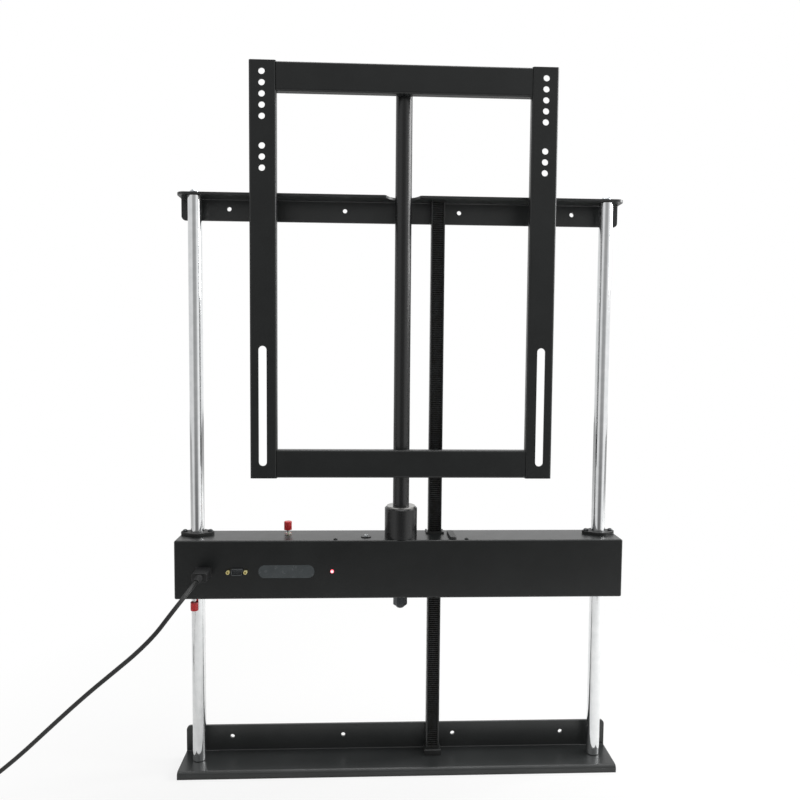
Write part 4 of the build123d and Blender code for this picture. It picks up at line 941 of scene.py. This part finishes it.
class SubAssembly:
    """Pieces that are made and dressed together.

    Attributes:
        looks: The CAD nodes that have each finish.
    """

    looks: ClassVar[Mapping[Surface, tuple[str, ...]]] = {}

    def build(self) -> None:
        """Make the pieces that the CAD nodes lack, which here are none."""

    def dress(self) -> None:
        """Give the CAD nodes their finishes."""
        for surface, names in self.looks.items():
            for name in names:
                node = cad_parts[name]
                if not node.material_slots:
                    node.data.materials.append(surface.material())
                for slot in node.material_slots:
                    slot.material = surface.material()
                log.info("%s: %s", name, surface.value.name)


@dataclass
class SupplyLead(SubAssembly):
    """An appliance plug, a free run, a tied coil and a mains plug. Sizes are in millimetres.

    Attributes:
        diameter: The jacket's diameter.
        length: The real length from the strain relief to the mains plug; it is not used.
        route: The run's points, from the strain relief down to the floor and on to the coil.
        lying_height: Height up to which the lead lies on the floor; the point made from it is not
            used.
        steps: Points of the tube between two points of the route.
        roundness: How finely the tube is rounded.
        order: Order of the spline, which sets how softly it bends.
        coil_centre: The coil's middle.
        coil_radius: Radius of the coil's outer turns.
        coil_step: Distance between turns, beside and on each other.
        coil_floor: Height of the lower layer's middle line.
        coil_turns: How many turns there are, half inwards below and half outwards above.
        points_per_turn: Points of the spline on each turn.
        climb: Turns at which the lead starts and ends its climb to the upper layer.
        tail_end: Where the lead enters the mains plug.
        tie_width: Width of the strap round the coil.
        tie_thickness: Thickness of the strap.
        tie_slack: Space between the lead and the strap.
        tie_lap: Bearings in radians between which the strap's free end laps over it.
        tie_steps: Steps of the strap round its turns.
        tie_angles: Where the straps are, in degrees round the coil.
        reliefs: The ribs at the appliance plug and at the mains plug.
        line: Points along the lead's middle, known once it is laid.
    """

    looks = {Surface.PLUG: ("supply_plug", "mains_plug"), Surface.BRASS: ("mains_blades",)}

    diameter: float = 6.0
    length: float = 1538.0
    route: tuple[Point, ...] = (
        (-285.0, -78.0, 312.0), (-285.0, -92.0, 312.0), (-288.7, -106.8, 307.3),
        (-296.4, -119.9, 297.6), (-308.5, -128.5, 282.0), (-325.0, -130.5, 260.0),
        (-351.5, -126.0, 233.0), (-380.0, -119.0, 208.0), (-424.0, -111.0, 170.0),
        (-470.0, -104.0, 127.0), (-519.0, -97.0, 80.0), (-566.0, -91.0, 41.0),
        (-609.0, -85.0, 15.0), (-648.0, -81.5, 4.0), (-684.0, -80.0, 4.0),
        (-716.0, -80.0, 4.0),
    )
    lying_height: float = 14.0
    steps: int = 6
    roundness: int = 5
    order: int = 3
    coil_centre: Span = (-722.0, -40.4)
    coil_radius: float = 39.6
    coil_step: float = 6.6
    coil_floor: float = 4.0
    coil_turns: float = 4.5
    points_per_turn: int = 16
    climb: Span = (2.0, 2.5)
    tail_end: Point = (-684.0, -0.8, 10.6)
    tie_width: float = 9.0
    tie_thickness: float = 0.7
    tie_slack: float = 0.1
    tie_lap: Span = (0.35 * math.pi, 0.95 * math.pi)
    tie_steps: int = 72
    tie_angles: Span = (180.0, 0.0)
    reliefs: tuple[StrainReliefRibs, ...] = (
        StrainReliefRibs(
            "supply_relief_ribs", Body.CARRIAGE, start=(-285.0, -59.5, 312.0),
            end=(-285.0, -76.5, 312.0), start_radius=4.75, end_radius=4.0, section_share=0.13,
        ),
        StrainReliefRibs(
            "mains_relief_ribs", Body.STAND, start=(-684.8, -0.8, 10.6),
            end=(-701.0, -0.8, 10.6), start_radius=3.9, end_radius=3.2, section_share=0.17,
        ),
    )
    line: list[Vector] = field(default_factory=list)

    def coil_points(self) -> list[Point]:
        """Wind the coil.

        Returns:
            Points that spiral in on one layer, climb and spiral out on the next.
        """
        x, y = self.coil_centre
        start, end = self.climb
        points = []
        for index in range(int(self.coil_turns * self.points_per_turn) + 1):
            turns = index / self.points_per_turn
            angle = -math.pi / 2 - math.tau * turns
            radius = self.coil_radius - self.coil_step * min(turns, self.coil_turns - turns)
            share = min(max((turns - start) / (end - start), 0.0), 1.0)
            height = self.coil_floor + self.coil_step * (1 - math.cos(math.pi * share)) / 2
            points.append((x + radius * math.cos(angle), y + radius * math.sin(angle), height))
        return points

    def build_cord(self) -> bpy.types.Object:
        """Lay the lead along one smooth spline, and keep it as a tube.

        Returns:
            The tube, as thick as the jacket.
        """
        points = [*self.route, *self.coil_points(), self.tail_end]
        curve = bpy.data.curves.new("lead_route", "CURVE")
        curve.dimensions = "3D"
        curve.resolution_u = self.steps
        spline = curve.splines.new("NURBS")
        spline.points.add(len(points) - 1)
        for spot, point in zip(spline.points, points):
            spot.co = (*metres(point), 1.0)
        spline.order_u = self.order
        spline.use_endpoint_u = True
        guide = placed("lead_route", curve)
        self.line = [vertex.co / MM for vertex in meshed(guide).vertices]
        curve.bevel_depth = self.diameter / 2 * MM
        curve.bevel_resolution = self.roundness
        curve.use_fill_caps = True
        tube = meshed(guide)
        bpy.data.objects.remove(guide)
        tidy_faces(tube)
        tube.materials.clear()
        tube.materials.append(Surface.JACKET.material())
        return placed("supply_lead", tube)

    def turns_at(self, angle: float) -> list[Span]:
        """Find the lead's turns at one place round the coil.

        Args:
            angle: The place in radians.

        Returns:
            The distance from the coil's middle and the height of each point there.
        """
        x, y = self.coil_centre
        found = []
        for point in self.line:
            out = Vector((point.x - x, point.y - y))
            off = math.remainder(math.atan2(out.y, out.x) - angle, math.tau)
            on_coil = out.length < self.coil_radius + self.diameter
            if on_coil and abs(off) * out.length < self.tie_width / 2:
                found.append((out.length, point.z))
        return found

    def tie_section(
        self, turns: list[Span], angle: float, bearing: float, inner: float
    ) -> list[Point]:
        """Give the strap's four corners on one side of its turns.

        Args:
            turns: The lead's turns at the strap.
            angle: The strap's place round the coil in radians.
            bearing: The side of the turns in radians, from straight outwards and up.
            inner: Distance from a turn's middle line to the strap.

        Returns:
            The corners in order.
        """
        x, y = self.coil_centre
        out, up = math.cos(bearing), math.sin(bearing)
        from_middle, height = max(turns, key=lambda turn: turn[0] * out + turn[1] * up)
        half, outer = self.tie_width / 2, inner + self.tie_thickness
        corners = []
        for reach, side in ((inner, -half), (outer, -half), (outer, half), (inner, half)):
            away = from_middle + reach * out
            along_x = away * math.cos(angle) - side * math.sin(angle)
            along_y = away * math.sin(angle) + side * math.cos(angle)
            corners.append((x + along_x, y + along_y, height + reach * up))
        return corners

    def build_tie(self, name: str, angle: float) -> bpy.types.Object:
        """Wrap a strap tightly round the turns, with its free end lapped on the top.

        Args:
            name: The piece's name.
            angle: The place round the coil in radians.

        Returns:
            The strap on the stand's body.
        """
        turns = self.turns_at(angle)
        near = self.diameter / 2 + self.tie_slack
        layers = ((0.0, math.tau, near), (*self.tie_lap, near + self.tie_thickness))
        points: list[Point] = []
        faces: list[tuple[int, ...]] = []
        for start, end, inner in layers:
            first = len(points)
            for index in range(self.tie_steps + 1):
                bearing = start + (end - start) * index / self.tie_steps
                points += self.tie_section(turns, angle, bearing, inner)
            last = len(points) - CORNERS
            for ring in range(first, last, CORNERS):
                ahead = ring + CORNERS
                for corner in range(CORNERS):
                    beside = (corner + 1) % CORNERS
                    faces.append((ring + corner, ring + beside, ahead + beside, ahead + corner))
            if end - start < math.tau:
                faces += [tuple(range(ring, ring + CORNERS)) for ring in (first, last)]
        tie = mesh_object(name, points, [], faces)
        tidy_faces(tie.data, smooth=False)
        tie.data.materials.append(Surface.STRAP.material())
        settle(tie, Body.STAND, Surface.STRAP)
        return tie

    def build(self) -> None:
        """Make the lead with all that sits on it, and hide the CAD lead."""
        cord = self.build_cord()
        pieces = [
            self.build_tie(f"coil_tie_{number}", math.radians(angle))
            for number, angle in enumerate(self.tie_angles, 1)
        ]
        pieces += [relief.build() for relief in self.reliefs]
        pieces += [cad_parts[name] for name in ("mains_plug", "mains_blades")]
        leaving = metres(self.route[0])
        lying = (*leaving[:2], self.lying_height * MM)
        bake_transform(cord)
        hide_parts("cord_run", "cord_coil")
        [tuple(point * MM) for point in self.line]
        log.info("%s bends with the lift: %s", cord.name, Surface.JACKET.value.name)


@dataclass(frozen=True)
class FrameWelds:
    """Weld beads where the frame's rails meet its uprights, behind. Sizes are in millimetres.

    Attributes:
        joint_x: Distance of the joints from the middle.
        web_y: Depth of the rails' back face.
        rail_spans: Lowest and highest point of each bead.
        radius: Radius of a drop.
        radius_shares: The least and the most that a drop's radius is drawn as, in radii.
        pitch: Distance between drops.
        inset: How far the drops' middles stand off the two faces.
        seed: The number that keeps the same drops in every run.
        subdivisions: How finely a drop is rounded.
    """

    joint_x: float = 180.0
    web_y: float = -27.5
    rail_spans: tuple[Span, ...] = ((453.0, 485.0), (997.0, 1029.0))
    radius: float = 1.5
    radius_shares: Span = (0.82, 1.12)
    pitch: float = 1.5
    inset: float = 0.4
    seed: int = 11
    subdivisions: int = 2

    def tree(self) -> Tree:
        """Make the Geometry Nodes tree.

        Returns:
            A tree that strings drops of slightly different size along each edge.
        """
        path = PathTree("drops_of_a_weld_bead", (("Pitch", "Float"), ("Drop Radius", "Float")))
        tree, given, line = path.started()
        spots = {"Curve": line, "Length": given["Pitch"]}
        spots = add_node(tree, "GeometryNodeResampleCurve", spots, mode="LENGTH")
        least, most = self.radius_shares
        drawn = {RANDOM_MIN: least, RANDOM_MAX: most, "Seed": self.seed}
        drawn = add_node(tree, "FunctionNodeRandomValue", drawn, data_type="FLOAT")
        size = {0: drawn.outputs[RANDOM_VALUE], 1: given["Drop Radius"]}
        drop = {"Radius": 1.0, "Subdivisions": self.subdivisions}
        copies = {
            "Points": spots.outputs["Curve"],
            "Instance": add_node(tree, "GeometryNodeMeshIcoSphere", drop).outputs["Mesh"],
            "Scale": add_node(tree, "ShaderNodeMath", size, operation="MULTIPLY").outputs[0],
        }
        return path.closed(tree, copies, given["Material"])

    def build(self) -> bpy.types.Object:
        """Make the beads.

        Returns:
            The piece on the swivelling body.
        """
        points: list[Point] = []
        for side in (-1, 1):
            x = side * (self.joint_x - self.inset)
            points += [(x, self.web_y + self.inset, z) for span in self.rail_spans for z in span]
        edges = [(first, first + 1) for first in range(0, len(points), 2)]
        inputs = {
            "Pitch": self.pitch * MM,
            "Drop Radius": self.radius * MM,
            "Material": Surface.FRAME.material(),
        }
        piece = grown(mesh_object("frame_weld_beads", points, edges, []), self.tree(), inputs)
        settle(piece, Body.SWIVEL, Surface.FRAME)
        return piece


class Stand(SubAssembly):
    """The fixed stand: brackets, guide rods and rack."""

    looks = {
        Surface.BRACKET: ("base_bracket", "top_bracket"),
        Surface.CHROME: ("guide_rod_left", "guide_rod_right"),
        Surface.ZINC: ("rod_washers_lower", "rod_screws_lower", "rod_screws_upper", "rack_screws"),
        Surface.CHANNEL: ("rack_mounts", "rack_channel"),
        Surface.GEAR: ("gear_rack",),
    }


class LiftHousing(SubAssembly):
    """The climbing housing with its drive, its electrical pieces and its limit stops."""

    looks = {
        Surface.HOUSING: ("housing_shell", "rear_cover"),
        Surface.BRACKET: ("inner_brackets", "motor_bracket"),
        Surface.ZINC: ("cover_screws", "motor_screws"),
        Surface.BLACK_ZINC: ("bearing_screws",),
        Surface.BLACK_SCREW: ("top_screws",),
        Surface.CAST_IRON: (
            "guide_bearings_upper", "guide_bearings_lower", "outboard_bearing", "spindle_hub"
        ),
        Surface.TRIM: (
            "rack_grommets", "top_clip", "power_inlet", "limit_switches", "board_parts"
        ),
        Surface.NYLON: ("stop_guides", "thrust_washer"),
        Surface.BUSH: ("collar_bushes",),
        Surface.MAST: ("mast_collar",),
        Surface.MOTOR: ("motor",),
        Surface.TINNED: ("serial_shell", "serial_pins"),
        Surface.ALLOY: ("gearbox",),
        Surface.BOARD: ("control_board",),
        Surface.WINDOW: ("ir_window",),
        Surface.LAMP: ("status_lamp",),
        Surface.BRASS: ("connector_posts",),
        Surface.GEAR: ("pinion_shaft", "drive_pinion"),
        Surface.VINYL: ("upper_stop_cap", "lower_stop_cap"),
        Surface.STEM: ("upper_stop_stem", "lower_stop_stem"),
    }


@dataclass
class SwivelFrame(SubAssembly):
    """The swivelling mast and the television frame.

    Attributes:
        welds: The beads that join the frame's rails to its uprights.
    """

    looks = {
        Surface.MAST: ("mast",),
        Surface.TRIM: ("mast_cap",),
        Surface.BLACK_ZINC: ("spindle_nut",),
        Surface.FRAME: (
            "frame_upright_left", "frame_upright_right", "frame_rail_top", "frame_rail_bottom"
        ),
        Surface.PAINTED_CASTING: ("mast_saddles",),
        Surface.ZINC: ("saddle_screws",),
    }

    welds: FrameWelds = FrameWelds()

    def build(self) -> None:
        """Make the weld beads."""
        self.welds.build()


@dataclass(frozen=True)
class StudioCamera:
    """The camera, a little left of the middle and looking slightly down.

    Attributes:
        place: Where it stands, in metres.
        lens: Focal length in millimetres.
        sensor: Width of the sensor in millimetres.
        clip: Nearest and farthest distance that it sees, in metres.
        yaw: Turn to the right in radians.
        pitch: Tilt down in radians.
        roll: Turn about the line of sight in radians.
    """

    place: Point = (-0.0484, -1.0407, 0.6237)
    lens: float = 31.72
    sensor: float = 36.0
    clip: Span = (0.05, 60.0)
    yaw: float = 0.0441
    pitch: float = 0.0608
    roll: float = 0.0083

    def build(self) -> None:
        """Make the camera and set it as the scene's."""
        level = math.cos(self.pitch)
        ahead = Vector(
            (math.sin(self.yaw) * level, math.cos(self.yaw) * level, -math.sin(self.pitch))
        )
        right = Vector((math.cos(self.yaw), -math.sin(self.yaw), 0.0))
        up = right.cross(ahead)
        turned_right = math.cos(self.roll) * right + math.sin(self.roll) * up
        turned_up = math.cos(self.roll) * up - math.sin(self.roll) * right
        data = bpy.data.cameras.new("studio_camera")
        data.lens = self.lens
        data.sensor_width = self.sensor
        data.clip_start, data.clip_end = self.clip
        camera = placed("studio_camera", data)
        axes = Matrix((turned_right, turned_up, -ahead)).transposed()
        camera.matrix_world = Matrix.Translation(self.place) @ axes.to_4x4()
        bpy.context.scene.camera = camera


@dataclass(frozen=True)
class SoftBox:
    """A soft lamp.

    Attributes:
        name: The lamp's name.
        place: Where it hangs, in metres.
        size: Its width in metres.
        power: Its power in watts.
    """

    name: str
    place: Point
    size: float
    power: float

    def build(self, aim: Vector) -> None:
        """Hang the lamp.

        Args:
            aim: The point that it faces, in metres.
        """
        data = bpy.data.lights.new(self.name, "AREA")
        data.shape = "SQUARE"
        data.size = self.size
        data.energy = self.power
        lamp = placed(self.name, data)
        lamp.location = self.place
        lamp.rotation_mode = "QUATERNION"
        lamp.rotation_quaternion = (aim - Vector(self.place)).to_track_quat("-Z", "Y")
        lamp.visible_camera = False


@dataclass(frozen=True)
class Studio:
    """A white floor and a white room whose near side is dark, with two soft lamps.

    Directions in the room run from -1 to 1 on each axis, as seen from the object.

    Attributes:
        floor_x: Left and right end of the floor in metres.
        floor_y: Near and far end of the floor in metres.
        floor_z: Height of the floor in metres, just under the stand.
        fade: Distances in metres over which the floor fades out, and the room's share of it.
        ambient: How much the room lights what stands in it.
        paint: The floor's colour.
        white: The room's colour.
        low_side: Upright directions over which the near side grows brighter, and its light.
        near_side: Depths over which the near side passes into the white room.
        wide_side: Sideways directions over which the room grows brighter, and its share.
        lamps: The soft lamps.
        aim: The point that the lamps face.
    """

    floor_x: Span = (-5.0, 5.0)
    floor_y: Span = (-0.8, 6.0)
    floor_z: float = -0.0001
    fade: Ramp = ((0.45, 0.85), (0.78, 1.0))
    ambient: float = 0.42
    paint: str = "#f2f2f1"
    white: str = "#ffffff"
    low_side: Ramp = ((-0.25, -0.05), (0.15, 0.42))
    near_side: Span = (-0.95, -0.74)
    wide_side: Ramp = ((-0.9, 0.5), (0.8, 1.05))
    lamps: tuple[SoftBox, ...] = (
        SoftBox("key_softbox", (1.9, 0.05, 1.5), 1.3, 42.0),
        SoftBox("top_softbox", (0.1, 0.3, 2.5), 1.6, 27.0),
    )
    aim: Point = (0.0, 0.0, 0.45)

    def floor_material(self) -> bpy.types.Material:
        """Make the floor's matt white.

        Returns:
            A material that keeps shadows and fades into the room's white further out.
        """
        material = empty_material("matt_white_floor")
        tree = material.node_tree
        place = add_node(tree, "ShaderNodeTexCoord").outputs["Object"]
        away = add_node(tree, "ShaderNodeVectorMath", {0: place}, operation="LENGTH")
        faded = {"Value": away.outputs["Value"], **limits(*self.fade)}
        faded = add_node(tree, "ShaderNodeMapRange", faded).outputs["Result"]
        seen = {0: faded, 1: add_node(tree, "ShaderNodeLightPath").outputs["Is Camera Ray"]}
        share = add_node(tree, "ShaderNodeMath", seen, operation="MULTIPLY").outputs[0]
        paint = add_node(tree, "ShaderNodeBsdfDiffuse", {"Color": linear(self.paint)}).outputs[0]
        white = {"Color": linear(self.white), "Strength": 1.0}
        white = add_node(tree, "ShaderNodeEmission", white).outputs[0]
        mixed = add_node(tree, "ShaderNodeMixShader", {0: share, 1: paint, 2: white}).outputs[0]
        add_node(tree, "ShaderNodeOutputMaterial", {"Surface": mixed})
        return material

    def build_floor(self) -> None:
        """Lay the floor just under the stand."""
        (left, right), (near, far) = self.floor_x, self.floor_y
        corners = ((left, near), (right, near), (right, far), (left, far))
        points = [(x / MM, y / MM, self.floor_z / MM) for x, y in corners]
        floor = mesh_object("studio_floor", points, [], [(0, 1, 2, 3)])
        floor.data.materials.append(self.floor_material())

    def build_room(self) -> None:
        """Make the room: white behind the object, and dark on the camera's side."""
        world = bpy.data.worlds.new("studio_room")
        bpy.context.scene.world = world
        world.use_nodes = True
        tree = world.node_tree
        tree.nodes.clear()
        way = add_node(tree, "ShaderNodeTexCoord").outputs["Generated"]
        x, y, z = add_node(tree, "ShaderNodeSeparateXYZ", {"Vector": way}).outputs
        low = {"Value": z, **limits(*self.low_side)}
        low = add_node(tree, "ShaderNodeMapRange", low).outputs["Result"]
        deep = {"Value": y, **limits(self.near_side, (low, 1.0))}
        deep = add_node(tree, "ShaderNodeMapRange", deep).outputs["Result"]
        wide = {"Value": x, **limits(*self.wide_side)}
        wide = add_node(tree, "ShaderNodeMapRange", wide).outputs["Result"]
        mirrored = {0: deep, 1: wide}
        mirrored = add_node(tree, "ShaderNodeMath", mirrored, operation="MULTIPLY").outputs[0]
        path = add_node(tree, "ShaderNodeLightPath").outputs
        clear = {0: path["Is Glossy Ray"], 1: path["Is Transmission Ray"]}
        clear = add_node(tree, "ShaderNodeMath", clear, operation="MAXIMUM").outputs[0]
        unseen = {SHARE: clear, VALUE_A: self.ambient, VALUE_B: mirrored}
        unseen = add_node(tree, "ShaderNodeMix", unseen, data_type="FLOAT").outputs[MIXED_VALUE]
        light = {SHARE: path["Is Camera Ray"], VALUE_A: unseen, VALUE_B: 1.0}
        light = add_node(tree, "ShaderNodeMix", light, data_type="FLOAT").outputs[MIXED_VALUE]
        glow = {"Color": linear(self.white), "Strength": light}
        glow = add_node(tree, "ShaderNodeBackground", glow).outputs[0]
        add_node(tree, "ShaderNodeOutputWorld", {"Surface": glow})

    def build(self) -> None:
        """Make the floor, the room and the lamps."""
        self.build_floor()
        self.build_room()
        for lamp in self.lamps:
            lamp.build(Vector(self.aim))
        bpy.context.scene.view_settings.view_transform = "Standard"


def main() -> None:
    """Build the scene in order."""
    logging.basicConfig(level=logging.INFO, format="%(name)s: %(message)s")
    StudioCamera().build()
    for part in (SupplyLead(), Stand(), LiftHousing(), SwivelFrame()):
        part.build()
        part.dress()
    Studio().build()


if __name__ == "__main__":
    main()
